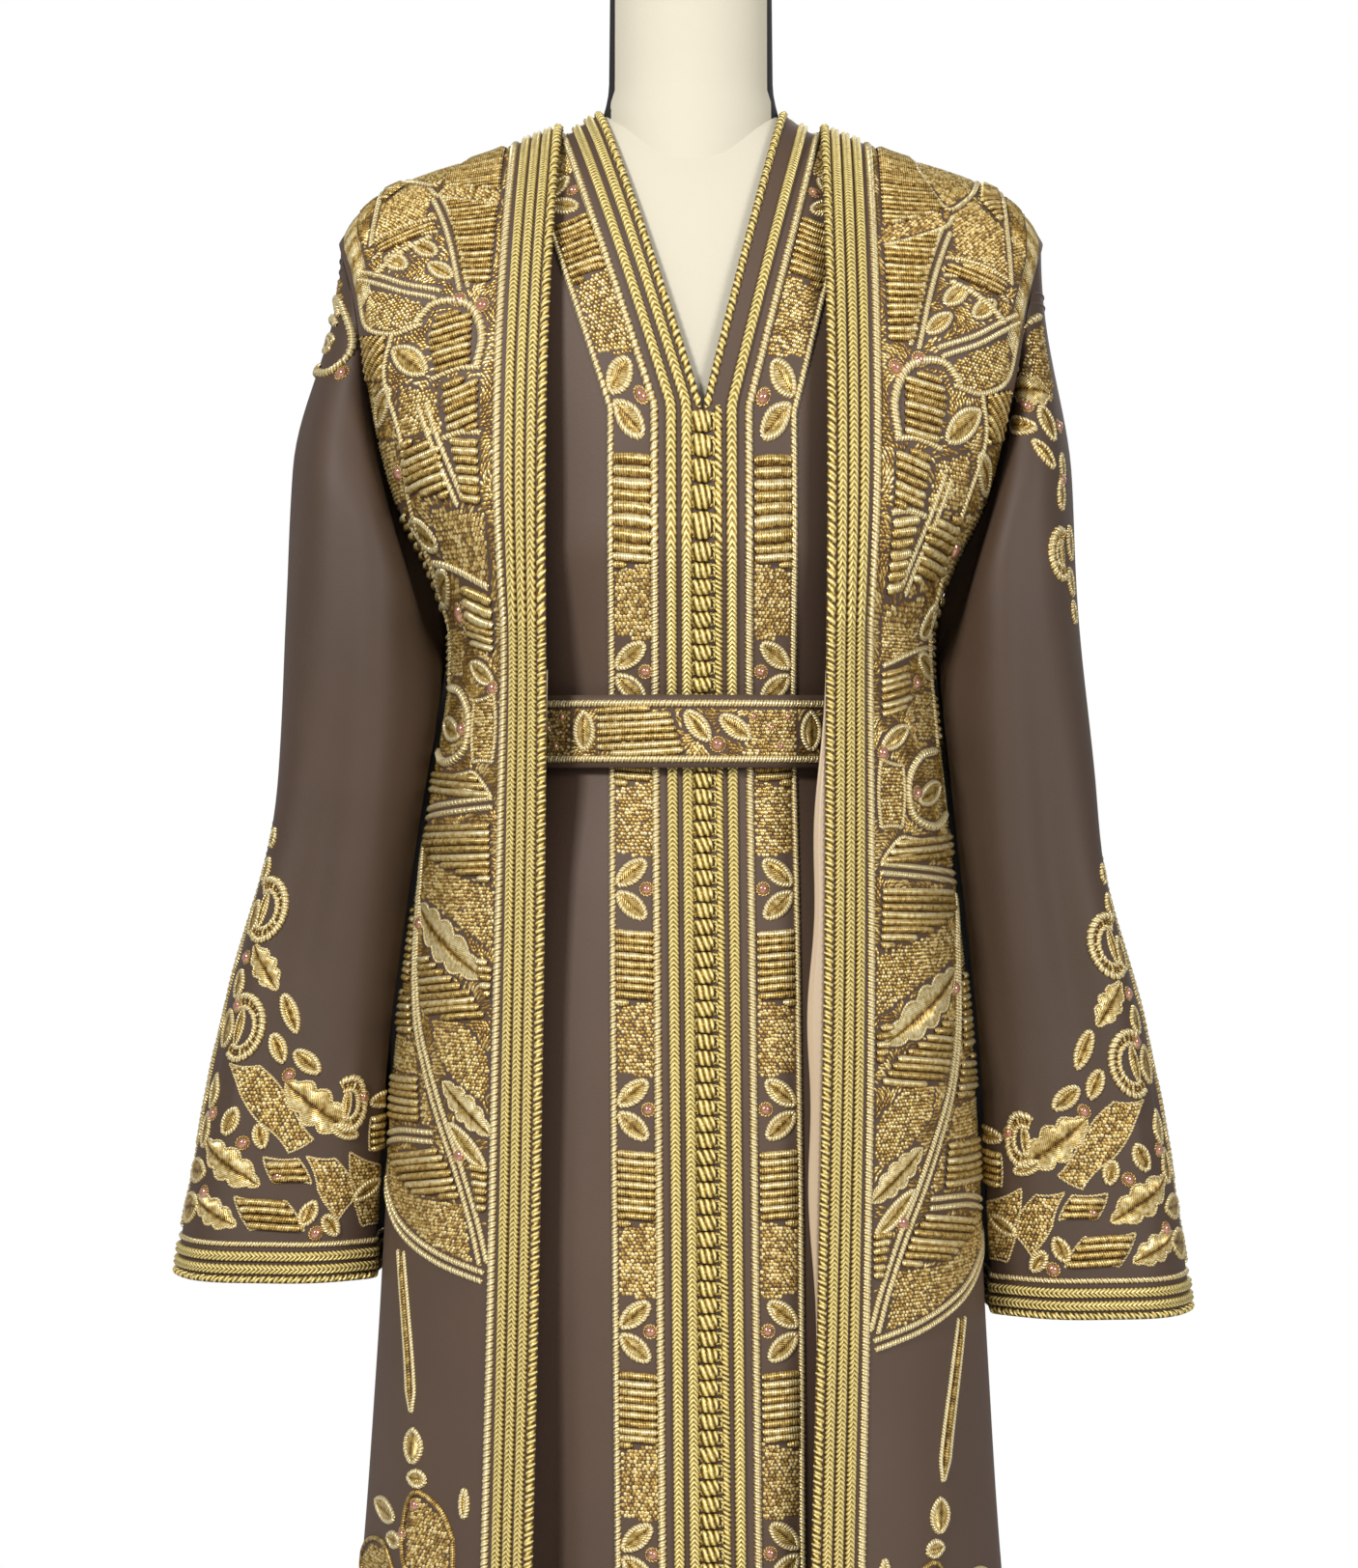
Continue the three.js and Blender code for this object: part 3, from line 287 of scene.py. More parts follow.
class Layer:
    """The body surface that a layer of cloth follows, the same one as in the solid model.

    The rings give half widths and depths by height. Rows above the chest rise over the shoulder.
    """

    def __init__(self, chest, rise, scoop, rings, shoulder, armhole, neck):
        self.chest, self.rise, self.scoop, self.neck = chest, rise, scoop, neck
        self.right, self.left, self.front, self.back = (
            smooth_curve([(row[0], row[column]) for row in rings]) for column in (1, 2, 3, 4)
        )
        self.shoulder = smooth_curve(shoulder)
        self.armhole = smooth_curve(armhole)

    def lift(self, station):
        """(turn, sin(turn)^0.9, cos(turn)^0.9), with the turn going from 0 at the chest to 90 degrees."""
        turn = np.clip((station - self.chest) / self.rise, 0, 1) * math.pi / 2
        return turn, np.sin(turn) ** SLOPE, np.maximum(np.cos(turn), 0) ** SLOPE

    def half(self, station, side):
        """Half width on a side: from the rings to the chest, and from the armhole curve above."""
        below = np.where(side > 0, self.left(station), self.right(station))
        return np.where(station <= self.chest, below, self.armhole(self.lift(station)[1]))

    def top(self, x, facing):
        """(y, z) of the upper edge: the shoulder line, or the back of the neck as a half ellipse."""
        share = np.abs(x) / self.neck[0]
        seam = SHOULDER_Y + facing * SHOULDER_GAP / 2
        line = self.shoulder(np.abs(x))
        if facing == FRONT:
            return seam + 0 * x, line
        rest = np.clip(1 - share * share, 0, 1)
        y = seam + (self.neck[1] - seam) * np.sqrt(rest)
        z = self.neck[2] + (self.shoulder(self.neck[0]) - self.neck[2]) * share * share
        return np.where(share < 1, y, seam), np.where(share < 1, z, line)

    def point(self, station, across, facing):
        """x = half across, y = depth (1 - |across|^2.25)^(1/2.25), z = station, risen above the chest."""
        station, across = np.broadcast_arrays(np.asarray(station, float), np.asarray(across, float))
        rounded = np.maximum(1 - np.abs(across) ** SQUARE, 0) ** (1 / SQUARE)
        depth = self.front if facing == FRONT else self.back
        x = self.half(station, across) * across
        turn, lift, hold = self.lift(station)
        top_y, top_z = self.top(x, facing)
        chest_y = facing * depth(self.chest) * rounded
        hollow = facing * self.scoop * np.sin(2 * turn) * np.abs(across) ** 4
        above = np.stack([x, top_y + (chest_y - top_y) * hold + hollow,
                          self.chest + (top_z - self.chest) * lift], -1)
        below = np.stack([x, facing * depth(station) * rounded, station], -1)
        return np.where((station <= self.chest)[..., None], below, above)


ROW_SAMPLES = 96


def row_lengths(layer, stations, start_x, side, facing):
    """Points of each row from start_x to a side, across = sin(angle) at even angles, with their distances."""
    first = np.arcsin(start_x / layer.half(stations, np.sign(start_x)))
    t = np.linspace(0, 1, ROW_SAMPLES + 1)
    across = np.sin(first[:, None] + (side * math.pi / 2 - first[:, None]) * t)
    points = layer.point(stations[:, None], across, facing)
    steps = np.linalg.norm(np.diff(points, axis=1), axis=2)
    return points, np.concatenate([np.zeros((len(stations), 1)), np.cumsum(steps, 1)], 1)


def along_row(points, lengths, distance):
    """Reads one row at distances from its start."""
    return np.stack([np.interp(distance, lengths, points[:, k]) for k in range(3)], -1)


def fold_depth(folds, share, station):
    """Sum of deep ease((top - station) / (top - full)) exp(-((share - at) / wide)^2) over the folds."""
    total = 0 * share
    for at, wide, deep, top, full in folds:
        total = total + deep * ease((top - station) / (top - full)) * np.exp(-(((share - at) / wide) ** 2))
    return total


class Surface:
    """A finished panel, read at (distance, station, height) in millimetres."""

    STEP = 2.0
    MARGIN = 7  # steps carried on past each edge

    def __init__(self, stations, places, points, out):
        self.stations = np.asarray(stations, float)
        self.low = math.floor(places.min()) - self.MARGIN * self.STEP
        span = np.arange(self.low, places.max() + (self.MARGIN + 1) * self.STEP, self.STEP)
        self.points = np.stack([self.spread(span, places[i], points[i]) for i in range(len(points))])
        self.out = np.stack([self.spread(span, places[i], out[i]) for i in range(len(points))])

    @staticmethod
    def spread(span, places, values):
        """One row at even distances, carried on straight past its two ends."""
        even = np.stack([np.interp(span, places, values[:, k]) for k in range(3)], -1)
        for edge, inner, past in ((0, 1, span < places[0]), (-1, -2, span > places[-1])):
            slope = (values[edge] - values[inner]) / (places[edge] - places[inner])
            even[past] = values[edge] + (span[past, None] - places[edge]) * slope
        return even

    def at(self, coords):
        """Points p + height n for (distance, station, height): p and n mixed from the four nearest ones."""
        row = np.interp(coords[..., 1], self.stations, np.arange(len(self.stations)))
        column = np.clip((coords[..., 0] - self.low) / self.STEP, 0, self.points.shape[1] - 1.001)
        i = np.minimum(row.astype(int), len(self.stations) - 2)
        j = column.astype(int)
        r, c = (row - i)[..., None], (column - j)[..., None]
        mixed = []
        for field in (self.points, self.out):
            low = field[i, j] * (1 - c) + field[i, j + 1] * c
            high = field[i + 1, j] * (1 - c) + field[i + 1, j + 1] * c
            mixed.append(low * (1 - r) + high * r)
        out = mixed[1] / np.maximum(np.linalg.norm(mixed[1], axis=-1, keepdims=True), 1e-9)
        return mixed[0] + out * coords[..., 2:3]


SEAM_GAP = 0.3  # how far short of the side seam each panel ends


def front_panel(layer, stations, edge, side, near, shares, trim, folds):
    """Grid of a front panel: columns at the near distances, then at shares of the rest of each row."""
    rows, lengths = row_lengths(layer, stations, side * edge(stations), side, FRONT)
    beyond = lengths[:, -1:] - trim - SEAM_GAP
    places = np.concatenate([np.repeat([near], len(stations), 0), trim + beyond * shares], 1)
    plain_points = np.stack([along_row(rows[i], lengths[i], places[i]) for i in range(len(stations))])
    depth = fold_depth(folds, places / places[:, -1:], stations[:, None])
    points = plain_points + side * outward(plain_points) * depth[..., None]
    return places, points, side * outward(points)


def back_panel(layer, stations, columns, folds):
    """Grid of a back panel, from the right side seam to the left one; columns are even shares."""
    halves = [row_lengths(layer, stations, 0 * stations + side * 1e-6, side, BACK) for side in (RIGHT, LEFT)]
    share = np.linspace(-1, 1, columns)
    places, plain_points = [], []
    for i in range(len(stations)):
        parts = []
        for (points, lengths), chosen in zip(halves, (share[share < 0], share[share >= 0])):
            parts.append(along_row(points[i], lengths[i], np.abs(chosen) * (lengths[i, -1] - SEAM_GAP)))
        plain_points.append(np.concatenate(parts))
        places.append(share * halves[1][1][i, -1])
    plain_points = np.stack(plain_points)
    depth = fold_depth(folds, (np.repeat([share], len(stations), 0) + 1) / 2, stations[:, None])
    points = plain_points - outward(plain_points) * depth[..., None]
    return np.stack(places), points, -outward(points)


DRESS_CLOTH = 1.2
DRESS_BAND_TO = 61.0  # outer edge of the embroidered band
CENTRE_HALF = 0.5  # half the gap between the fronts
NECK_HALF = 60.0
V_LIFT = 0.3  # share of the rise over the shoulder where the V starts
DRESS = Layer(
    1180, 340, 34,
    [(HEM, 236, 236, 178, 184), (250, 217, 217, 163, 166), (502, 197, 197, 148, 146),
     (700, 185, 185, 138, 133), (860, 175, 175, 127, 121), (960, 157, 157, 115, 109),
     (1030, 129, 129, 101, 93), (1064, 125, 125, 97, 89), (1100, 130, 130, 101, 91),
     (1180, 147, 147, 121, 97)],
    [(0, 1494), (58, 1481.4), (80, 1467.4), (100, 1459.4), (130, 1448.4), (168, 1432.5)],
    [(0, 147), (0.35, 146), (0.75, 158), (1, 168)],
    (91, 88, 1457),
)
DRESS_TOP = 1519.8
V_STATION = DRESS.chest + DRESS.rise * math.asin(V_LIFT ** (1 / SLOPE)) / (math.pi / 2)
button_line = smooth_curve([(HEM, 18), (502, 13), (1040, 8), (1276, 7)])
# share across, width, depth, top and full height of each fold
DRESS_FOLDS = {
    "right": [(0.4, 0.15, -13, 760, 480), (0.58, 0.06, 7, 1030, HEM), (0.71, 0.06, -6, 980, HEM),
              (0.86, 0.07, 6, 1000, HEM), (0.3, 0.035, 3, 1030, 700), (0.5, 0.03, -3, 1020, 760)],
    "left": [(0.4, 0.16, -22, 760, 480), (0.61, 0.06, 7, 1030, HEM), (0.74, 0.06, -5, 940, HEM),
             (0.88, 0.06, 6, 960, HEM), (0.33, 0.035, 3, 1030, 720), (0.48, 0.03, -3, 1020, 800)],
    "back": [(0.14, 0.04, 7, 1000, HEM), (0.27, 0.04, -6, 940, HEM), (0.41, 0.05, 8, 1020, HEM),
             (0.56, 0.04, -7, 960, HEM), (0.69, 0.05, 7, 1000, HEM), (0.85, 0.04, -5, 920, HEM)],
}


def dress_edge(side):
    """x of a front's edge, as a distance on its own side: the button line, then straight up the V."""

    def edge(station):
        line = side * button_line(np.minimum(station, V_STATION)) + CENTRE_HALF
        lift = DRESS.lift(station)[1]
        above = line + (NECK_HALF - line) * (lift - V_LIFT) / (1 - V_LIFT)
        return np.where(station <= V_STATION, line, above)

    return edge


dress_stations = np.union1d(np.linspace(HEM, DRESS_TOP, 170), [V_STATION])
dress_surface = {}
for name, side in SIDES.items():
    near = np.array([0, 5, 10, 15, 22, 29, 37, 45, 53, DRESS_BAND_TO])
    shares = np.linspace(0, 1, 25)[1:]
    places, points, out = front_panel(
        DRESS, dress_stations, dress_edge(side), side, near, shares, DRESS_BAND_TO, DRESS_FOLDS[name]
    )
    dress_surface[name] = Surface(dress_stations, places, points, out)
    cloth(f"dress_front_{name}_cloth", points, out, DRESS_CLOTH, [f"dress_front_{name}"], CREPE)
places, points, out = back_panel(DRESS, np.linspace(HEM, DRESS_TOP, 120), 53, DRESS_FOLDS["back"])
cloth("dress_back_cloth", points, out, DRESS_CLOTH, ["dress_back"], CREPE)


# Dress trimmings: yellow herringbone braids beside the buttons, and an embroidered band between two ropes,
# from the shoulder round the V neck to the hem. The left edge has one braid and a strip of loops.
# Needlework is raised on the cloth: half-round cords and bars, domes for seeds, padded leaves, beads.
def arithmetic(tree, operation, first, second=None):
    """A Math node: an input is a socket or a number."""
    made = node(tree, "ShaderNodeMath", operation=operation)
    for slot, value in enumerate((first, second)):
        if value is None:
            continue
        if isinstance(value, (int, float)):
            made.inputs[slot].default_value = value
        else:
            tree.links.new(value, made.inputs[slot])
    return made.outputs[0]


def thread_material(name, stops, roughness, metallic, turns, lean, deep, groove_shade, glint_patchiness):
    """Wound or twisted thread: its UV runs along the cord in centimetres and half way round it.

    The height is deep sin(2 pi (turns u + lean v)), the slant of the threads on the cord. The same wave
    paints shade into the grooves and light onto the ridges, and a noise of about 3 mm gives uneven thread
    tone with painted glints; the last two arguments weigh the wave and the noise in the stitch's tone.
    """
    material, tree, shader = plain(name, stops[0][1], roughness, metallic)
    uv = node(tree, "ShaderNodeUVMap", uv_map="UVMap")
    split = node(tree, "ShaderNodeSeparateXYZ")
    tree.links.new(uv.outputs["UV"], split.inputs[0])
    along = arithmetic(tree, "MULTIPLY", split.outputs["X"], turns)
    around = arithmetic(tree, "MULTIPLY", split.outputs["Y"], lean)
    phase = arithmetic(tree, "MULTIPLY", arithmetic(tree, "ADD", along, around), 2 * math.pi)
    wave = arithmetic(tree, "SINE", phase)
    tone = node(tree, "ShaderNodeAttribute", attribute_name="tone")
    # Painted glints and uneven thread tone from the noise; painted shade in the grooves and light on the
    # ridges from the wave
    glint = arithmetic(tree, "SUBTRACT", noise(tree, 340.0, 1.0), 0.5)
    uneven = arithmetic(tree, "MULTIPLY", glint, glint_patchiness)
    marked = arithmetic(tree, "ADD", uneven, arithmetic(tree, "MULTIPLY", wave, groove_shade))
    shaded = arithmetic(tree, "ADD", tone.outputs["Fac"], marked)
    colored(tree, shader, shaded, stops)
    bumped(tree, shader, wave, 1.0, deep)
    return material


GOLD_STOPS = [(0.0, (0.075, 0.034, 0.006)), (0.33, (0.36, 0.205, 0.036)), (0.64, (0.70, 0.50, 0.155)),
              (1.0, (0.98, 0.89, 0.58))]
BRAID_STOPS = [(0.0, (0.09, 0.050, 0.008)), (0.36, (0.43, 0.25, 0.035)), (0.7, (0.86, 0.60, 0.13)),
               (1.0, (1.0, 0.88, 0.38))]
# name, stops, roughness, metallic, turns to the centimetre, lean, depth, painted groove shade, and patchiness
# with painted glints
THREAD = thread_material("gold_thread", GOLD_STOPS, 0.3, 0.45, 5.0, 1.0, 0.00024, 0.3, 0.5)
SATIN_STITCH = thread_material("satin_stitch", GOLD_STOPS, 0.25, 0.5, 6.0, 0.6, 0.00014, 0.18, 1.1)
BRAID = thread_material("yellow_braid", BRAID_STOPS, 0.36, 0.25, 3.3, 1.1, 0.0005, 0.6, 0.7)
SEED, seed_tree, seed_shader = plain("seed_stitch", (0.5, 0.36, 0.14), 0.3, 0.5)
seed_tone = node(seed_tree, "ShaderNodeAttribute", attribute_name="tone").outputs["Fac"]
colored(seed_tree, seed_shader, seed_tone, GOLD_STOPS)
BEAD, _, bead_shader = plain("copper_glass", (0.60, 0.29, 0.19), 0.1, 0.6)
bead_shader.inputs["Coat Weight"].default_value = 0.6
STITCH_MATERIALS = [THREAD, SATIN_STITCH, SEED, BEAD, BRAID, CREPE]
KINDS = {"cord": 0, "satin": 1, "seed": 2, "bead": 3, "braid": 4, "crepe": 5}


def curve_through(corners, step):
    """Points about a step apart on a smooth curve through (distance, station) corners."""
    corners = np.array(corners, float)
    reach = np.concatenate([[0], np.cumsum(np.linalg.norm(np.diff(corners, axis=0), axis=1))])
    t = np.linspace(0, reach[-1], max(int(reach[-1] / step), 3) + 1)
    if len(corners) < 3:
        return np.stack([np.interp(t, reach, corners[:, k]) for k in range(2)], -1)
    return np.stack([smooth_curve(np.stack([reach, corners[:, k]], -1))(t) for k in range(2)], -1)


def round_ended(corners, radius, step):
    """Points on a slightly bowed bar, close together at its two ends so that they stay full."""
    (x0, y0), (x1, y1), (x2, y2) = corners
    length = math.hypot(x2 - x0, y2 - y0)
    inner = np.linspace(radius, length - radius, max(int((length - 2 * radius) / step), 1) + 1)
    reach = np.concatenate([[0, 0.3 * radius], inner, [length - 0.3 * radius, length]]) / length
    bow = 4 * reach * (1 - reach)
    x = x0 + (x2 - x0) * reach + (x1 - (x0 + x2) / 2) * bow
    y = y0 + (y2 - y0) * reach + (y1 - (y0 + y2) / 2) * bow
    return np.stack([x, y], -1)


def turned(points, degrees):
    """Points turned about the origin, anticlockwise."""
    angle = math.radians(degrees)
    return points @ np.array([[math.cos(angle), math.sin(angle)], [-math.sin(angle), math.cos(angle)]])


class Needlework:
    """Collects stitches as coordinates, faces, UV in centimetres, tone from amber 0 to pale 1, and kind."""

    # Sections of a cord: places across it and their rise, both for a radius of 1
    ROUND = np.cos(np.linspace(0, math.pi, 5)), np.sin(np.linspace(0, math.pi, 5))
    TWO_LOBES = np.array([1, 0.84, 0.48, 0, -0.48, -0.84, -1]), np.array([0, 0.75, 1, 0.6, 1, 0.75, 0])
    FULL = 1.15  # height of a cord over its radius
    SUNK = 0.25  # how far a cord's edges lie below the cloth's outer face
    BLUNT = 0.25  # share of the width left at its ends
    # Painted light and shade: the crest is painted paler and the edges darker, the upper side paler, and each
    # swelling paler with darker grooves between
    SHADING = {"cord": 0.5, "satin": 0.6, "braid": 1.0, "crepe": 0.5}  # how much paler its crest is
    SIDE_SHADING = {"cord": 0.16, "satin": 0.36, "braid": 0.16, "crepe": 0.16}  # and its upper side
    RIPPLE_SHADING = 2.2  # how much paler a swelling is

    def __init__(self, base, deeper=0.0):
        self.base = base  # height of the cloth's outer face
        self.deeper = deeper  # how much darker the gold is than the stated tones
        self.coords, self.uv, self.tone = [], [], []
        self.faces = {3: [], 4: []}
        self.kinds = {3: [], 4: []}
        self.count = 0
        self.filled = []  # polygons that are already covered

    def take(self, coords, uv, tone, faces, kind):
        """Adds points and faces that already carry their own numbers from 0."""
        coords = coords.reshape(-1, 3)
        self.coords.append(coords)
        self.uv.append(uv.reshape(-1, 2))
        self.tone.append(np.broadcast_to(tone, len(coords)).ravel() - self.deeper)
        corners = faces.shape[1]
        self.faces[corners].append(faces + self.count)
        self.kinds[corners].append(np.full(len(faces), KINDS[kind]))
        self.count += len(coords)

    def cord(self, path, radius, tone, step=2.6, kind="cord", high=1.0, taper=0.0,
             swell=0.0, pitch=4.0, twist=0.0):
        """A half-round cord along a path, or a braid of two lobes: height = base - sunk + high radius rise.

        Its ends are rounded, or drawn out over the share taper. Its width swells every pitch, and the
        swelling is carried round it by twist. Light and shade are painted into its tone: its crest and upper
        side paler, as on thread lit from above, and its edges and the grooves between swellings darker.
        """
        if kind == "satin" and len(path) == 3:
            path = round_ended(path, radius, step)
        else:
            path = curve_through(path, step) if len(path) < 9 else np.asarray(path, float)
        travel = np.gradient(path, axis=0)
        travel /= np.maximum(np.linalg.norm(travel, axis=1, keepdims=True), 1e-9)
        reach = np.concatenate([[0], np.cumsum(np.linalg.norm(np.diff(path, axis=0), axis=1))])
        away = np.minimum(reach, reach[-1] - reach)
        width = np.sqrt(np.clip((away + self.BLUNT * radius) / max(radius, 1e-6), 0, 1))
        if taper:
            drawn = np.clip(away / (taper * reach[-1]), 0, 1) ** 0.7
            width = width * (self.BLUNT + (1 - self.BLUNT) * drawn)
        side = np.stack([-travel[:, 1], travel[:, 0]], -1)
        lobes = kind == "braid" and not swell
        across, rise = self.TWO_LOBES if lobes else self.ROUND
        round_it = np.linspace(0, 1, len(across))
        ripple = swell * np.cos(2 * math.pi * (reach[:, None] / pitch + twist * round_it))
        width = radius * width[:, None] * (1 + ripple)
        flat = path[:, None] + side[:, None] * (width * across)[..., None]
        height = self.base - self.SUNK + high * width * rise * self.FULL
        coords = np.concatenate([flat, height[..., None]], -1)
        uv = np.stack(np.broadcast_arrays(reach[:, None] / 10, np.abs(across) if lobes else round_it), -1)
        lit = self.SIDE_SHADING[kind] * side[:, 1:] * across
        shade = tone + self.SHADING[kind] * (rise - 0.75) + self.RIPPLE_SHADING * ripple + lit
        self.take(coords, uv, shade.ravel(), grid_faces(len(path), len(across)), kind)

    def stamp(self, shape, faces, places, turn, size, tone, kind, grain=0.1):
        """Repeats one small shape at many places, each turned and sized by its own amount.

        Its thread pattern has the size that grain, in centimetres, gives to the shape's unit radius.
        """
        cosine, sine = np.cos(turn)[:, None], np.sin(turn)[:, None]
        x = (shape[:, 0] * cosine - shape[:, 1] * sine) * size[:, None] + places[:, 0:1]
        y = (shape[:, 0] * sine + shape[:, 1] * cosine) * size[:, None] + places[:, 1:2]
        z = shape[:, 2] * size[:, None] + self.base
        numbers = (np.arange(len(places)) * len(shape))[:, None, None]
        uv = np.repeat(shape[None, :, :2] * grain, len(places), 0)
        # Painted light and shade: each stamp's top is painted paler and its rim darker
        tones = (tone[:, None] + 0.5 * (shape[:, 2] / shape[:, 2].max() - 0.7)).ravel()
        self.take(np.stack([x, y, z], -1), uv, tones, (faces + numbers).reshape(-1, faces.shape[1]), kind)

    def piece(self, name, surface, slot, stands_for, mirrored):
        """Lays the stitches on the surface; where its distances run towards -X their faces turn over."""
        points = surface.at(np.concatenate(self.coords))
        faces = {corners: np.concatenate(rows) for corners, rows in self.faces.items() if rows}
        kinds = np.concatenate([np.concatenate(self.kinds[corners]) for corners in faces])
        uv, tone = np.concatenate(self.uv), np.clip(np.concatenate(self.tone), 0, 1)
        ordered = [rows[:, ::-1] if mirrored else rows for rows in faces.values()]
        return build(name, points, ordered, STITCH_MATERIALS, stands_for, uv, tone, kinds)


ROPE = {"swell": 0.13, "twist": 0.9}
FINE_ROPE = {"swell": 0.13, "twist": 0.8}
KNOTTED = {"kind": "braid", "swell": 0.24}


def dome(sides, rings, high):
    """A low dome: ring k of n has radius cos(90 k / n) and height h sin(90 k / n), with a point on top."""
    points, faces = [], []
    for ring in range(rings):
        angle = math.pi / 2 * ring / rings
        turn = 2 * math.pi * (np.arange(sides) + 0.5 * ring) / sides
        points.append(np.stack([np.cos(turn), np.sin(turn), 0 * turn], -1) * math.cos(angle))
        points[-1][:, 2] = high * math.sin(angle)
    points.append(np.array([[0, 0, high]]))
    side = np.arange(sides)
    for ring in range(rings - 1):
        a, b = ring * sides + side, ring * sides + (side + 1) % sides
        faces += [np.stack([a, b, a + sides], -1), np.stack([b, b + sides, a + sides], -1)]
    last = (rings - 1) * sides + side
    faces.append(np.stack([last, (rings - 1) * sides + (side + 1) % sides, 0 * side + rings * sides], -1))
    return np.concatenate(points), np.concatenate(faces)


SEED_SHAPE, SEED_FACES = dome(6, 1, 0.9)
STITCH_SHAPE, STITCH_FACES = dome(6, 1, 0.8)
STITCH_SHAPE = STITCH_SHAPE * [1.5, 0.6, 0.9]
BEAD_SHAPE, BEAD_FACES = dome(8, 3, 0.8)
rng = np.random.default_rng(7)


def inside(points, corners):
    """True for each point inside a polygon: a ray from it crosses the edges an odd number of times."""
    crossed = np.zeros(len(points), bool)
    for (x1, y1), (x2, y2) in zip(corners, np.roll(corners, -1, 0)):
        spans = (y1 > points[:, 1]) != (y2 > points[:, 1])
        level = np.where(spans, (points[:, 1] - y1) / (y2 - y1 + 1e-12), 0)
        crossed ^= spans & (points[:, 0] < x1 + level * (x2 - x1))
    return crossed


TRIANGULAR = 0.87  # rows over columns of a triangular grid
SCATTER = 0.1  # how far stitches stand out of line, as a share of the grid


def seeds(work, corners, pitch=2.6, tone=0.74):
    """Small knots on a close triangular grid inside a polygon, a little out of line."""
    low, high = corners.min(0), corners.max(0)
    across = np.arange(low[0], high[0] + pitch, pitch)
    up = np.arange(low[1], high[1] + pitch, pitch * TRIANGULAR)
    x, y = np.meshgrid(across, up)
    x = x + (np.arange(len(up)) % 2)[:, None] * pitch / 2
    spots = np.stack([x.ravel(), y.ravel()], -1)
    spots = spots[inside(spots, corners)]
    if len(spots) == 0:
        return
    spots = spots + rng.normal(0, SCATTER * pitch, spots.shape)
    size = pitch * rng.uniform(0.46, 0.6, len(spots))
    work.stamp(SEED_SHAPE, SEED_FACES, spots, rng.uniform(0, 6.3, len(spots)), size,
               tone + rng.uniform(-0.42, 0.26, len(spots)), "seed")


BAR_HALF = 0.53  # half width of a bar as a share of the pitch, so that neighbours touch
BAR_HIGH = 1.2
BAR_STEP = 6.0
SHORTEST = 3.0


def bars(work, corners, tilt, pitch=4.9, tone=0.5):
    """Padded satin bars side by side across a convex polygon, at a tilt in degrees."""
    level = turned(corners, -tilt)
    for height in np.arange(level[:, 1].min() + pitch * 0.55, level[:, 1].max() - pitch * 0.3, pitch):
        start, end = level, np.roll(level, -1, 0)
        spans = (start[:, 1] > height) != (end[:, 1] > height)
        if spans.sum() < 2:
            continue
        a, b = start[spans], end[spans]
        hits = np.sort(a[:, 0] + (height - a[:, 1]) / (b[:, 1] - a[:, 1]) * (b[:, 0] - a[:, 0]))
        if hits[-1] - hits[0] < SHORTEST:
            continue
        bow = 0.5 * math.sin(height)
        ends = np.array([[hits[0], height], [(hits[0] + hits[-1]) / 2, height + bow], [hits[-1], height]])
        shade = tone + 0.14 * math.sin(height * 1.7)
        work.cord(turned(ends, tilt), pitch * BAR_HALF, shade, BAR_STEP, "satin", BAR_HIGH)


LEAF_HIGH = 1.9
LEAF_SUNK = 0.2


def leaf(work, middle, length, width, tilt, scallops=0, rim=1.8):
    """A padded leaf: half width w (1 - t^2)^0.8 for t from -1 to 1 along it, domed across, in a pale cord.

    A scalloped leaf is paler, split by a dark slit, and has only a fine cord round its lobes.
    """
    core, rim_tone, slit = 0.36, 0.84, 0.2
    if scallops:
        rim, core, rim_tone, slit = 1.0, 0.62, 0.8, 0.6
    t = np.linspace(-1, 1, 6 * scallops + 1 if scallops else 15)
    lobes = 0.42 * np.abs(np.cos(scallops * math.pi * t / 2)) if scallops else 0
    half = (1 - t * t) ** 0.8 * (1 + lobes)
    s = np.linspace(-1, 1, 9)
    x = np.repeat(t[:, None] * (length / 2 - rim), len(s), 1)
    y = half[:, None] * s * (width / 2 - rim)
    ridge = 1 - s * s - 0.25 * np.exp(-((s / 0.25) ** 2))
    high = work.base - LEAF_SUNK + LEAF_HIGH * ridge * np.sqrt(np.maximum(1 - t * t, 0))[:, None]
    flat = turned(np.stack([x, y], -1).reshape(-1, 2), tilt) + middle
    coords = np.concatenate([flat, high.reshape(-1, 1)], 1)
    uv = np.stack([(x + 0.9 * np.abs(y)) / 10, y / 10], -1)
    shade = core + 0.4 * np.abs(s) * (1 - np.abs(s)) * 2 - slit * np.exp(-((s / 0.2) ** 2)) + 0 * x
    work.take(coords, uv, shade.ravel(), grid_faces(len(t), len(s))[:, ::-1], "satin")
    outline = np.concatenate([np.stack([t, half], -1), np.stack([t, -half], -1)[::-1][1:]])
    outline = turned(outline * (length / 2 - rim, width / 2 - rim), tilt) + middle
    work.cord(curve_through(outline, 1.3), rim, rim_tone, swell=0.1, pitch=3.6, twist=0.8)


def bead(work, middle, size=4.2):
    """A cut copper-pink glass bead in a small ring of metal thread."""
    spot = np.array([middle], float)
    work.stamp(BEAD_SHAPE, BEAD_FACES, spot, np.zeros(1), np.array([size]), np.array([0.5]), "bead")
    ring = np.linspace(0, 2 * math.pi, 13)
    path = np.stack([np.cos(ring), np.sin(ring)], -1) * (size + 0.6) + middle
    work.cord(path, 0.9, 0.45)


DRESS_ON = DRESS_CLOTH / 2
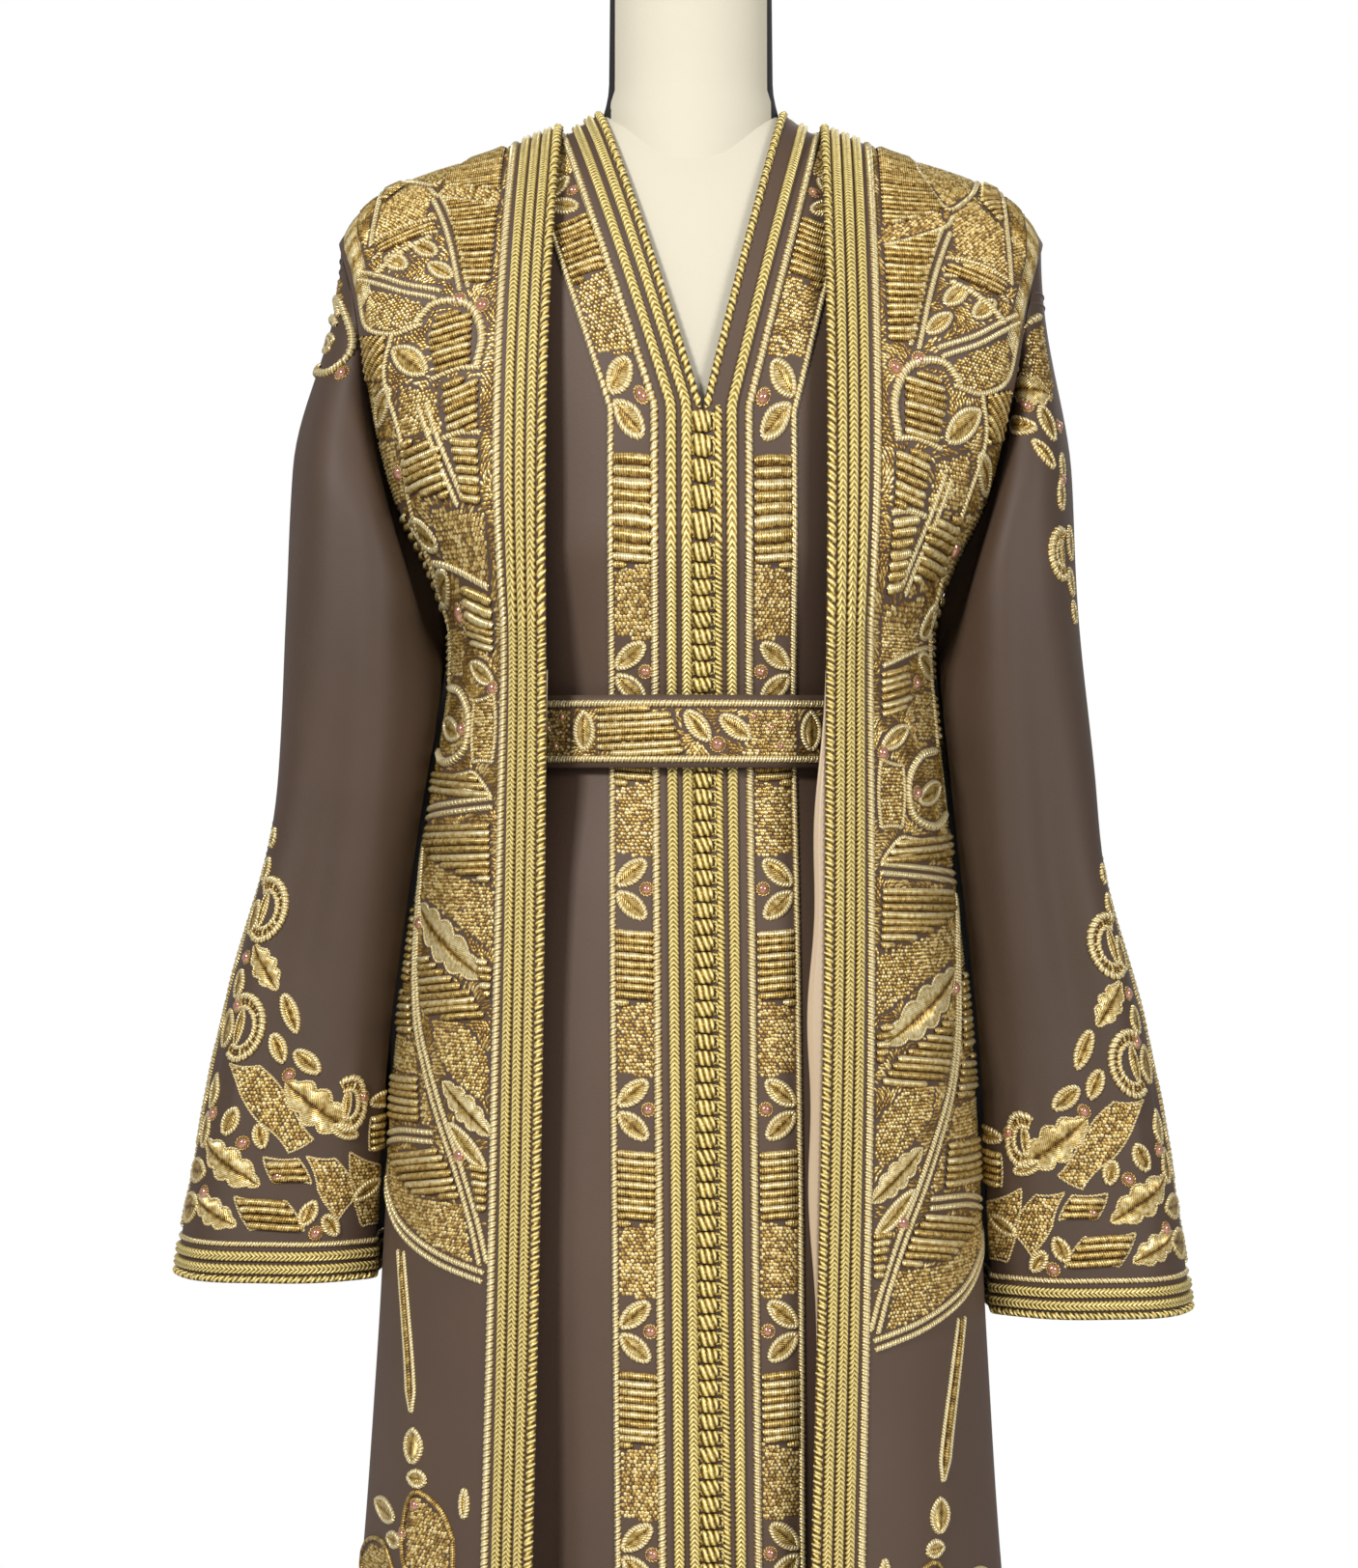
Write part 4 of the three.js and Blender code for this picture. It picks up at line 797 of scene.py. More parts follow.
# distances from the front edge
DRESS_BRAIDS = {"right": (10.0, 19.8), "left": (18.0,)}
LOOPED_STRIP = 9.4
INNER_ROPE = {"right": 30.6, "left": 29.2}
OUTER_ROPE = 59.0
BAND_TOP = 1496
BAND_REPEAT = 140.0


def straight(distance, low, high, step):
    """A line along a panel at one distance from its edge."""
    w = np.arange(low, high, step)
    return np.stack([np.full(len(w), distance), w], -1)


for name, side in SIDES.items():
    trims = Needlework(DRESS_ON)
    trims.cord(straight(2.4, V_STATION - 2, DRESS_TOP - 1, 1.2), 2.3, 0.7, pitch=4.6, twist=0.4, **KNOTTED)
    for distance in DRESS_BRAIDS[name]:
        trims.cord(straight(distance, HEM + 1, DRESS_TOP - 1, 4.0), 3.3, 0.84, kind="braid", high=0.95)
    if name == "left":
        strip = straight(LOOPED_STRIP, HEM + 1, V_STATION, 1.1)
        trims.cord(strip, 2.4, 0.72, kind="braid", swell=0.2, pitch=3.4, twist=0.5)
    panel = dress_surface[name]
    trims.piece(f"dress_{name}_braids", panel, "braid", [f"dress_braid_{name}"], side < 0)
    band = Needlework(DRESS_ON)
    for distance, radius in ((INNER_ROPE[name], 2.5), (OUTER_ROPE, 2.1)):
        line = straight(distance, HEM + 1, DRESS_TOP - 1, 1.1)
        band.cord(line, radius, 0.8, swell=0.14, pitch=3.7, twist=0.9)
    for top in np.arange(BAND_TOP, HEM + BAND_REPEAT, -BAND_REPEAT):
        bars(band, np.array([(32.6, top), (57.4, top), (57.4, top - 48), (32.6, top - 42)]), 4)
        seeds(band, np.array([(33.4, top - 44), (56.8, top - 50), (56.8, top - 90), (33.4, top - 94)]))
        leaf(band, (46.5, top - 103), 27, 14.5, -40)
        leaf(band, (46.5, top - 124), 27, 14.5, 42)
        bead(band, (37, top - 113.5), 3.6)
    band.piece(f"dress_{name}_embroidery", panel, "embroidery", [f"dress_band_{name}"], side < 0)


# Back necks: a shaped band of braid rows from shoulder to shoulder, one on the dress and one on the robe.
# The rows are laid side by side on a tape of the layer's own crepe.
NECK_SEAM = 1.9  # how far the band's outer edge stays inside the layer's neck line
TAPE = 1.6


def neck_surface(layer, inner, width, rows):
    """A band between two half ellipses, x = -a cos(turn) and y = b sin(turn), read along it and outwards."""
    angle = np.radians(np.linspace(0.4, 179.6, rows))
    rounded = np.sin(angle)

    def line(x, y, z, side_z):
        return np.stack([-x * np.cos(angle), SHOULDER_Y + (y - SHOULDER_Y) * rounded,
                         z + (side_z - z) * (1 - rounded**2)], -1)

    near = line(*inner, layer.shoulder(inner[0]))
    a, b, low = layer.neck
    far = line(a - NECK_SEAM, b - NECK_SEAM, low, layer.shoulder(a))
    along = np.stack([np.sin(angle), np.cos(angle), 0 * angle], -1)
    out = np.cross(along, far - near)
    out /= np.linalg.norm(out, axis=1, keepdims=True)
    out *= np.where(out[:, 2:3] < 0, -1, 1)
    reach = np.concatenate([[0], np.cumsum(np.linalg.norm(np.diff(near, axis=0), axis=1))])
    places = np.repeat([[0.0, width]], rows, 0)
    return Surface(reach, places, np.stack([near, far], 1), np.stack([out, out], 1)), reach[-1]


def neck_band(name, surface, length, rows_at, half, width, stands_for):
    """The tape under the braids as a closed strip, and the braids themselves."""
    work = Needlework(TAPE / 2)
    for distance in rows_at:
        work.cord(straight(distance, 0.6, length - 0.5, 2.5), half, 0.84, kind="braid", high=0.7)
    work.piece(name, surface, "braid", stands_for, True)
    grid_w, grid_q = np.meshgrid(np.linspace(0, length, 40), np.linspace(0, width, 5), indexing="ij")
    flat = np.stack([grid_q, grid_w, 0 * grid_q], -1)
    middle = surface.at(flat)
    out = surface.at(flat + [0, 0, 1]) - middle
    cloth(name + "_tape", middle, out, TAPE, stands_for, CREPE)


surface, length = neck_surface(DRESS, (NECK_HALF, 67, 1476), 30.0, 60)
neck_band("dress_back_neck_braid", surface, length, (5.2, 14.8, 24.4), 4.5, 30.0, ["dress_back_neck"])


# Buttons: knotted thread balls 10.4 mm apart from the V neck to the hem, each with a loop on either side.
# They are sewn to the wearer's left front and cover the meeting edges.
BUTTON_PITCH = 10.4
BUTTON_RADIUS = 5.7
buttons = Needlework(DRESS_ON + 0.4)
knot, knot_faces = dome(16, 6, 0.8)
reach = np.hypot(knot[:, 0], knot[:, 1])
# Three spiral ridges on a squared dome
spiral = np.cos(3 * np.arctan2(knot[:, 1], knot[:, 0]) - 8 * reach)
squared = 1 / np.maximum(np.max(np.abs(knot[:, :2]), 1), 0.72) ** 0.7
knot = knot * squared[:, None] * [1.02, 0.86, 0.9]
knot[:, 2] *= 1 + 0.17 * spiral
heights = np.arange(V_STATION - 8, HEM + 6, -BUTTON_PITCH)
spots = np.stack([np.full(len(heights), -CENTRE_HALF - 0.8), heights], -1)
buttons.stamp(knot, knot_faces, spots, rng.uniform(-0.12, 0.12, len(spots)),
              np.full(len(spots), BUTTON_RADIUS), rng.uniform(0.56, 0.7, len(spots)), "braid", grain=0.42)
for height in heights:
    for way in (-1, 1):
        loop = [(way * 4.0, height + 3.6), (way * 6.6, height + 3.2), (way * 7.5, height),
                (way * 6.6, height - 3.2), (way * 4.0, height - 3.6)]
        buttons.cord(np.array(loop) - [CENTRE_HALF, 0], 1.1, 0.7, 2.0, "braid", swell=0.12, pitch=2.6)
buttons.piece("dress_knot_buttons", dress_surface["left"], "braid", ["dress_buttons"], False)


# Belt: a stiff band of crepe 47 mm wide, lying over the dress's trimmings and closed behind.
# Between two ropes it is embroidered with bars, seeds, leaves and beads, five times round.
BELT_LOW, BELT_TALL, BELT_THICK = 1040.5, 47.0, 1.6
BELT_SIDE, BELT_FRONT, BELT_BACK = 130.5, 107.6, 94.5
BELT_ROPES = (5.6, 41.4)


def shrunk(corners, by):
    """A polygon drawn in towards its middle by about a distance."""
    middle = corners.mean(0)
    reach = np.linalg.norm(corners - middle, axis=1, keepdims=True)
    return corners + (middle - corners) / reach * np.minimum(by, 0.6 * reach)


BARE = 1.0  # cell size of the map of covered cloth


def ground(work, outline, pitch=2.7):
    """Short stitches on the cloth still bare inside a polygon, turning gently from place to place.

    A map in cells of 1 mm marks each cell within one of a stitch's point, and stitches go where it is free.
    """
    outline = np.array(outline, float)
    low, high = outline.min(0), outline.max(0)

    def cells(points):
        return np.floor((points - low) / BARE).astype(int) + 1

    x, y = np.meshgrid(np.arange(low[0], high[0], pitch), np.arange(low[1], high[1], pitch * 0.8))
    x = x + (np.arange(len(x)) % 2)[:, None] * pitch / 2
    spots = np.stack([x.ravel(), y.ravel()], -1)
    spots = spots[inside(spots, outline)]
    for corners in work.filled:
        spots = spots[~inside(spots, shrunk(corners, -0.6))]
    size = np.ceil((high - low) / BARE).astype(int) + 3
    covered = np.zeros(size, bool)
    taken = cells(np.concatenate(work.coords)[:, :2])
    taken = taken[np.all((taken > 0) & (taken < size - 1), axis=1)]
    for dx in (-1, 0, 1):
        for dy in (-1, 0, 1):
            covered[taken[:, 0] + dx, taken[:, 1] + dy] = True
    free = cells(spots)
    spots = spots[~covered[free[:, 0], free[:, 1]]]
    spots = spots + rng.normal(0, SCATTER * pitch, spots.shape)
    x, y = spots.T
    turn = 1.6 * np.sin(x / 19) + 1.6 * np.cos(y / 15) + rng.normal(0, 0.25, len(spots))
    tone = 0.48 + 0.2 * np.sin(x / 7 + y / 11) + rng.uniform(-0.25, 0.3, len(spots))
    size = pitch * rng.uniform(0.52, 0.66, len(spots))
    work.stamp(STITCH_SHAPE, STITCH_FACES, spots, turn, size, tone, "seed")


def belt_ring(count):
    """The belt's inner face from the middle front: |x / a|^2.25 + |y / b|^2.25 = 1, and its outward side."""
    angle = np.linspace(0, 2 * math.pi, count)
    sine = np.sign(np.sin(angle)) * np.abs(np.sin(angle)) ** (2 / SQUARE)
    cosine = np.sign(np.cos(angle)) * np.abs(np.cos(angle)) ** (2 / SQUARE)
    depth = np.where(cosine > 0, BELT_FRONT, BELT_BACK)
    out = np.stack([sine / BELT_SIDE, -cosine / depth, 0 * sine], -1)
    out /= np.linalg.norm(out, axis=1, keepdims=True)
    return np.stack([BELT_SIDE * sine, -depth * cosine, 0 * sine + BELT_LOW], -1), out


ring, ring_out = belt_ring(241)
reach = np.concatenate([[0], np.cumsum(np.linalg.norm(np.diff(ring, axis=0), axis=1))])
levels = np.linspace(0, BELT_TALL, 9)
belt_points = ring[None] + levels[:, None, None] * np.array([0, 0, 1.0])
belt_out = np.repeat(ring_out[None], len(levels), 0)
belt_middle = belt_points + belt_out * BELT_THICK / 2
cloth("belt_band", belt_middle[:, :-1], belt_out[:, :-1], BELT_THICK, ["belt"], CREPE, ring=True)
belt_surface = Surface(levels, np.repeat([reach], len(levels), 0), belt_points, belt_out)
belt_work = Needlework(BELT_THICK)
belt_length = reach[-1]
for height in BELT_ROPES:
    q = np.arange(0.3 - belt_length / 2, belt_length / 2, 1.1)
    line = np.stack([q, np.full(len(q), height)], -1)
    belt_work.cord(line, 2.3, 0.8, pitch=3.6, **ROPE)
BELT_REPEAT = belt_length / 5
for unit in range(5):
    start = unit * BELT_REPEAT - 0.47 * BELT_REPEAT
    leaf(belt_work, (start, 23.5), 28, 16, 90)
    bars(belt_work, np.array([(start + 9, 9), (start + 66, 9), (start + 56, 38), (start + 9, 38)]), 3, 4.6)
    leaf(belt_work, (start + 74, 27), 27, 14, -52)
    leaf(belt_work, (start + 98, 26), 27, 14, -38)
    bead(belt_work, (start + 87, 15), 4.2)
    seeds(belt_work, np.array([(start + 104, 9), (start + 138, 9), (start + 138, 38), (start + 108, 38)]))
    for q, height in ((110, 33), (122, 26), (133, 33), (128, 14)):
        bead(belt_work, (start + q, height), 2.2)
ground(belt_work, [(-60, 8.5), (belt_length - 62, 8.5), (belt_length - 62, 38.5), (-60, 38.5)])
# The work starts behind the middle front, so its distances are taken round to lie on the ring
belt_work.coords = [np.concatenate([c[:, :1] % belt_length, c[:, 1:]], 1) for c in belt_work.coords]
belt_work.piece("belt_embroidery", belt_surface, "embroidery", ["belt"], False)


# Over-robe: two fronts and a back of the same crepe, open down the front, with wide hanging sleeves.
# Its fronts are stiff with embroidery down to below the hips and fall in soft folds below it.
ROBE_CLOTH = 1.6
ROBE_BRAID = 37.0  # width of the band of braids
PAST_BRAID = 40.0
ROBE_NECK = 87.0
ROBE = Layer(
    1135, 400, 44,
    [(HEM, 262, 251, 202, 208), (250, 241, 230, 187, 190), (502, 218, 207, 172, 168),
     (648, 209, 198, 165, 156), (745, 204, 193, 160, 148), (843, 198, 188, 155, 140),
     (908, 190, 182, 151, 134), (979, 180, 174, 147, 126), (1038, 171, 168, 144, 118),
     (1066, 166, 165, 142, 114), (1103, 161, 161, 140, 112), (1135, 161, 161, 140, 114)],
    [(0, 1500), (60, 1480), (88, 1470.6), (110, 1462.3), (133, 1452.3), (179, 1438), (214, 1421),
     (236, 1394)],
    [(0, 161), (0.13, 175), (0.28, 196), (0.55, 213), (0.79, 223), (1, 236)],
    (126, 108, 1446),
)
ROBE_TOP = 1534.8
# station, and the distances of the right and left front edges from the middle
ROBE_OPENING = [(HEM, 108, 66), (502, 101, 74), (693, 97, 79), (900, 94, 84), (1040, 93, 85.5),
                (1230, 93, 87), (1420, 87, 86), (1535, 86, 87)]
# share across, width, depth, top and full height of each fold
ROBE_FOLDS = {
    "right": [(0.3, 0.09, -5, 760, HEM), (0.47, 0.08, 8, 800, HEM), (0.66, 0.07, -7, 700, HEM),
              (0.84, 0.07, 9, 820, HEM), (0.4, 0.04, -2, 700, 300)],
    "left": [(0.03, 0.18, 4, 1000, HEM), (0.33, 0.08, 7, 740, HEM), (0.52, 0.08, -6, 700, HEM),
             (0.78, 0.08, 8, 820, HEM), (0.42, 0.04, -2, 690, 300)],
    "back": [(0.1, 0.04, 9, 980, HEM), (0.21, 0.04, -8, 900, HEM), (0.34, 0.05, 11, 1040, HEM),
             (0.47, 0.04, -9, 920, HEM), (0.6, 0.05, 12, 1060, HEM), (0.74, 0.04, -8, 880, HEM),
             (0.88, 0.04, 9, 1000, HEM), (0.08, 0.022, 5, 900, 420), (0.16, 0.02, -5, 800, 380),
             (0.28, 0.024, 6, 1000, 450), (0.4, 0.02, -6, 940, 400), (0.51, 0.024, 6, 900, 420),
             (0.66, 0.02, -6, 980, 430), (0.8, 0.022, 6, 900, 400), (0.93, 0.02, 5, 860, 400)],
}
robe_stations = np.linspace(HEM, ROBE_TOP, 190)
robe_surface = {}
for column, (name, side) in enumerate(SIDES.items(), 1):
    edge = smooth_curve([(row[0], row[column]) for row in ROBE_OPENING])
    near = np.array([0, 6, 12.5, 19, 25, 31, ROBE_BRAID, PAST_BRAID])
    shares = np.linspace(0, 1, 31)[1:]
    places, points, out = front_panel(
        ROBE, robe_stations, edge, side, near, shares, PAST_BRAID, ROBE_FOLDS[name]
    )
    robe_surface[name] = Surface(robe_stations, places, points, out)
    cloth(f"robe_front_{name}_cloth", points, out, ROBE_CLOTH, [f"robe_front_{name}"], CREPE)
places, points, out = back_panel(ROBE, np.linspace(HEM, ROBE_TOP, 150), 105, ROBE_FOLDS["back"])
cloth("robe_back_cloth", points, out, ROBE_CLOTH, ["robe_back"], CREPE)


# Robe edge braids: a knotted cord on the edge, three rows of yellow braid and a pale rope beyond them,
# sewn flat along each front from the hem over the shoulder. The back of the neck has five braid rows.
ROBE_ON = ROBE_CLOTH / 2
ROBE_BRAIDS_AT = (9.4, 16.9, 24.5)
ROBE_ROPE_AT = 33.2
for name, side in SIDES.items():
    trims = Needlework(ROBE_ON)
    trims.cord(straight(2.5, HEM + 2, ROBE_TOP - 1, 1.2), 2.6, 0.7, pitch=4.8, twist=0.4, **KNOTTED)
    for distance in ROBE_BRAIDS_AT:
        trims.cord(straight(distance, HEM + 1, ROBE_TOP - 1, 4.0), 3.0, 0.84, kind="braid", high=0.95)
    trims.cord(straight(ROBE_ROPE_AT, HEM + 1, ROBE_TOP - 1, 1.2), 2.7, 0.8, pitch=4.0, high=0.8, **ROPE)
    trims.piece(f"robe_{name}_braids", robe_surface[name], "braid", [f"robe_braid_{name}"], side < 0)
surface, length = neck_surface(ROBE, (ROBE_NECK, 82, 1474.5), ROBE_BRAID, 70)
neck_band("robe_back_neck_braid", surface, length, (3.5, 11, 19, 27, 34), 3.4, ROBE_BRAID,
          ["robe_back_neck"])


# Robe embroidery: the fronts are covered from the shoulder to below the hips with padded satin bars,
# seed stitches and leaves between pale cords and ropes, with copper beads and a ground of short stitches.
# The two fronts mirror each other, but the left front's design hangs lower below the shoulder.
def double_cord(work, path, gap=5.8, radius=1.9, tone=0.82):
    """Two pale cords side by side, with the cloth between them."""
    middle = curve_through(path, 6)
    travel = np.gradient(middle, axis=0)
    travel /= np.linalg.norm(travel, axis=1, keepdims=True)
    side = np.stack([-travel[:, 1], travel[:, 0]], -1)
    for way in (-0.5, 0.5):
        line = middle + side * gap * way
        work.cord(curve_through(line, 1.2), radius, tone, pitch=3.4, **FINE_ROPE)


def bowed(corners, by=0.055):
    """A polygon with its straight sides bent into shallow curves, outwards and inwards by turns."""
    corners = np.array(corners, float)
    t = np.linspace(0, 1, 9)[:-1, None]
    sides = []
    for number, (start, end) in enumerate(zip(corners, np.roll(corners, -1, 0))):
        across = np.array([start[1] - end[1], end[0] - start[0]]) * (by if number % 2 else -by)
        sides.append(start + (end - start) * t + across * 4 * t * (1 - t))
    return np.concatenate(sides)


def cell(work, fill, tilt, corners, rope=1.5, tone=0.74):
    """A cell of bars or seeds with a pale cord of radius rope round it, or none where rope is 0."""
    corners = bowed(corners) if rope else np.array(corners, float)
    if rope:
        closed = np.concatenate([corners, corners[:1]])
        work.cord(curve_through(closed, 1.1), rope, 0.76, pitch=3.2, **FINE_ROPE)
    if fill == "bars":
        bars(work, shrunk(corners, 0.7 * rope), tilt)
    else:
        seeds(work, shrunk(corners, rope), tone=tone)
    work.filled.append(corners)


def strands(work, inner, outer, count, tone, radius=1.2):
    """Short satin strands across a strip, from one edge curve to the other."""
    starts, ends = (curve_through(line, 1.0) for line in (inner, outer))
    for share in np.linspace(0.01, 0.99, count):
        pair = [line[int(share * (len(line) - 1))] for line in (starts, ends)]
        work.cord(pair, radius, tone + 0.25 * math.sin(40 * share), BAR_STEP, "satin")


# fill, tilt and corners, as (distance, station), of the two corded cells
FIELD_CELLS = [
    ("seeds", 0, [(42, 1088), (62, 1084), (60, 1044), (42, 1044)]),
    ("bars", 2, [(60, 1038), (158, 1042), (158, 1024), (42, 1022)]),
]
# Bars and seeds that meet with no cord of their own, from the shoulder down
FIELD_FILLS = [
    ("bars", 22, [(40, 1532), (63, 1532), (68, 1490), (83, 1446), (80, 1440), (40, 1406)]),
    ("seeds", 0, [(40, 1404), (80, 1440), (84, 1426), (40, 1390)]),
    ("bars", 14, [(40, 1386), (80, 1418), (60, 1324), (41, 1318)]),
    ("seeds", 0, [(67, 1532), (110, 1532), (103, 1484), (87, 1450), (72, 1488)]),
    ("bars", 58, [(116, 1532), (126, 1532), (125, 1450), (110, 1478)]),
    ("seeds", 0, [(106, 1474), (125, 1446), (126, 1392), (90, 1392), (88, 1440)]),
    ("bars", -8, [(84, 1389), (126, 1389), (122, 1374), (82, 1378)]),
    ("seeds", 0, [(86, 1314), (128, 1342), (134, 1316), (108, 1300), (90, 1300)]),
    ("bars", -6, [(52, 1300), (76, 1304), (82, 1288), (76, 1263), (52, 1265)]),
    ("bars", -34, [(112, 1298), (138, 1308), (141, 1274), (118, 1268)]),
    ("bars", -12, [(46, 1256), (72, 1258), (68, 1228), (46, 1226)]),
    ("seeds", 0, [(76, 1252), (102, 1260), (108, 1232), (72, 1226)]),
    ("bars", 10, [(46, 1222), (66, 1222), (58, 1188), (45, 1186)]),
    ("bars", -8, [(74, 1222), (110, 1228), (108, 1198), (68, 1192)]),
    ("seeds", 0, [(114, 1228), (150, 1234), (148, 1196), (112, 1196)]),
    ("seeds", 0, [(44, 1182), (60, 1184), (88, 1188), (86, 1160), (44, 1150)]),
    ("bars", 0, [(124, 1192), (154, 1192), (152, 1140), (128, 1140)]),
    ("bars", 12, [(43, 1146), (72, 1154), (74, 1124), (43, 1114)]),
    ("seeds", 0, [(80, 1130), (114, 1134), (118, 1104), (82, 1100)]),
    ("bars", 0, [(122, 1134), (150, 1134), (150, 1096), (124, 1100)]),
    ("bars", -2, [(42, 1005), (128, 1003), (134, 990), (112, 982), (70, 972), (40, 966)]),
    ("seeds", 0, [(70, 970), (112, 980), (126, 968), (114, 956), (76, 943), (38, 924), (38, 962)]),
    ("bars", 4, [(37, 914), (52, 920), (46, 900), (38, 888)]),
    ("bars", -6, [(54, 896), (106, 920), (116, 914), (106, 886), (94, 878), (40, 880)]),
    ("seeds", 0, [(60, 876), (90, 876), (86, 858), (66, 840), (42, 826), (37, 838), (40, 858)]),
    ("bars", 6, [(37, 786), (53, 792), (45, 760), (38, 752)]),
    ("seeds", 0, [(146, 990), (170, 988), (175, 952), (140, 950), (138, 966)]),
    ("bars", 0, [(136, 944), (180, 948), (183, 900), (131, 898)]),
    ("bars", -3, [(126, 890), (184, 894), (186, 868), (116, 866)]),
    ("seeds", 0, [(114, 862), (186, 864), (189, 842), (105, 842)]),
    ("bars", -2, [(104, 838), (190, 838), (191, 808), (100, 810)]),
    ("seeds", 0, [(84, 812), (100, 836), (98, 808)]),
    ("bars", -8, [(80, 794), (118, 792), (152, 783), (104, 764), (58, 764), (68, 784)]),
    ("seeds", 0, [(56, 761), (104, 762), (152, 781), (150, 762), (124, 749), (84, 733), (48, 724)]),
    ("seeds", 0, [(156, 782), (191, 780), (191, 784), (158, 764)]),
]
# kind, middle, length, width and tilt of each leaf, and the middle of each bead
FIELD_LEAVES = [
    ("leaf", 88, 1362, 27, 13, 50), ("leaf", 108, 1358, 27, 13, 50), ("leaf", 76, 1338, 27, 12, 46),
    ("leaf", 95, 1276, 36, 18, 42), ("leaf", 124, 1252, 36, 17, -38), ("leaf", 106, 1176, 38, 17, 22),
    ("leaf", 104, 1150, 38, 17, -18), ("leaf", 56, 1102, 32, 14, 28), ("leaf", 98, 1066, 42, 16, 14),
    ("scallop", 84, 928, 94, 22, 29), ("scallop", 148, 1066, 44, 24, 82), ("scallop", 56, 822, 54, 15, 38),
    ("leaf", 54, 798, 44, 13, 42),
]
FIELD_BEADS = [(62, 1311), (46, 1303), (84, 1138), (44, 1092), (116, 1210), (78, 1066), (122, 938),
               (60, 792)]
# corners of each double cord, single line and thick rope
FIELD_CORDS = [
    [(84, 1420), (70, 1368), (59, 1318)],
    [(76, 1318), (104, 1334), (138, 1364)],
    [(86, 1246), (76, 1220), (60, 1188)],
    [(40, 1018), (90, 1014), (164, 1008)],
    [(150, 998), (134, 966), (124, 918), (109, 874), (93, 844), (77, 814), (61, 784), (47, 750),
     (39, 724)],
    [(84, 802), (130, 800), (194, 790)],
    [(39, 716), (80, 726), (126, 742), (158, 758), (194, 774)],
]
FIELD_LINES = [
    [(64, 1534), (70, 1488), (86, 1446), (105, 1484), (113, 1534)],
    [(40, 1408), (60, 1424), (81, 1442)],
    [(40, 1388), (60, 1402), (84, 1424), (90, 1440)],
    [(128, 1534), (128, 1450), (129, 1388)],
    [(82, 1392), (104, 1395), (130, 1390)],
    [(80, 1376), (104, 1380), (127, 1371)],
    [(86, 1299), (108, 1298), (132, 1314), (138, 1346)],
    [(108, 1298), (116, 1270), (106, 1226), (112, 1180), (120, 1136), (120, 1096)],
    [(45, 1262), (60, 1264), (80, 1260)],
    [(44, 1224), (58, 1226), (72, 1224)],
    [(44, 1148), (70, 1156), (88, 1160), (108, 1162)],
]
FIELD_ROPES = [
    [(48, 1262), (45, 1284), (56, 1306), (78, 1312), (92, 1300)],
    [(112, 1094), (84, 1090), (68, 1074), (72, 1052), (100, 1044), (130, 1052)],
    [(84, 1372), (104, 1366), (124, 1352)],
]
# inner and outer edge of the strip of strands along the armhole
ARMHOLE_STRANDS = ([(126, 1340), (136, 1390), (145, 1440), (148, 1533)],
                   [(140, 1326), (150, 1386), (160, 1434), (164, 1533)])
LEFT_LOWER = 42.0  # how much lower the left front's design hangs
FIELD_TOP = 1534
FIELD_OUTLINE = [(37, FIELD_TOP), (150, FIELD_TOP), (146, 1440), (137, 1390), (128, 1340), (146, 1260),
                 (158, 1140), (164, 1010), (186, 900), (196, 790), (124, 748), (80, 732), (40, 720),
                 (37, 900)]


def field(work, lower):
    """The whole embroidered field of a front, let down by lower where it is not at the shoulder."""

    def down(corners):
        corners = np.array(corners, float)
        fall = lower * ease((FIELD_TOP - corners[:, 1]) / 60)
        return np.stack([corners[:, 0], corners[:, 1] - fall], -1)

    for fill, tilt, corners in FIELD_CELLS:
        cell(work, fill, tilt, down(corners))
    for fill, tilt, corners in FIELD_FILLS:
        cell(work, fill, tilt, down(corners), 0)
    for kind, x, y, length, width, tilt in FIELD_LEAVES:
        scallops = 5 if kind == "scallop" else 0
        leaf(work, down([(x, y)])[0], length, width, tilt, scallops)
    for spot in FIELD_BEADS:
        bead(work, down([spot])[0])
    for path in FIELD_CORDS:
        double_cord(work, down(path))
    for path in FIELD_LINES:
        work.cord(curve_through(down(path), 1.1), 1.9, 0.8, pitch=3.4, **FINE_ROPE)
    for path in FIELD_ROPES:
        work.cord(curve_through(down(path), 1.1), 2.9, 0.82, pitch=4.2, **ROPE)
    strands(work, down(ARMHOLE_STRANDS[0]), down(ARMHOLE_STRANDS[1]), 96, 0.72, 1.0)
    ground(work, down(FIELD_OUTLINE))


# Below the field: a narrow stripe down the plain cloth, and a cluster of teardrops, leaves and beads.
# They belong to the same piece as the field, one on each front.
STRIPE = [(121, 726), (112, 690), (104, 655), (99, 624)]
# corners of each teardrop, and middle, length, width and tilt of each leaf
TEARDROPS = [
    [(58, 548), (70, 566), (92, 574), (102, 556), (100, 528), (78, 510), (60, 522)],
    [(112, 520), (132, 534), (160, 532), (178, 516), (160, 500), (128, 500)],
    [(56, 498), (80, 500), (104, 488), (96, 452), (72, 432), (56, 460)],
]
CLUSTER_LEAVES = [
    (134, 556, 40, 16, 8), (116, 540, 24, 12, 0), (50, 572, 22, 9, 90), (120, 486, 30, 13, -20),
    (148, 482, 30, 13, 12), (112, 460, 28, 12, 60), (84, 416, 26, 13, 90), (106, 436, 22, 11, 40),
    (62, 420, 22, 10, -60), (84, 392, 20, 11, 90),
]


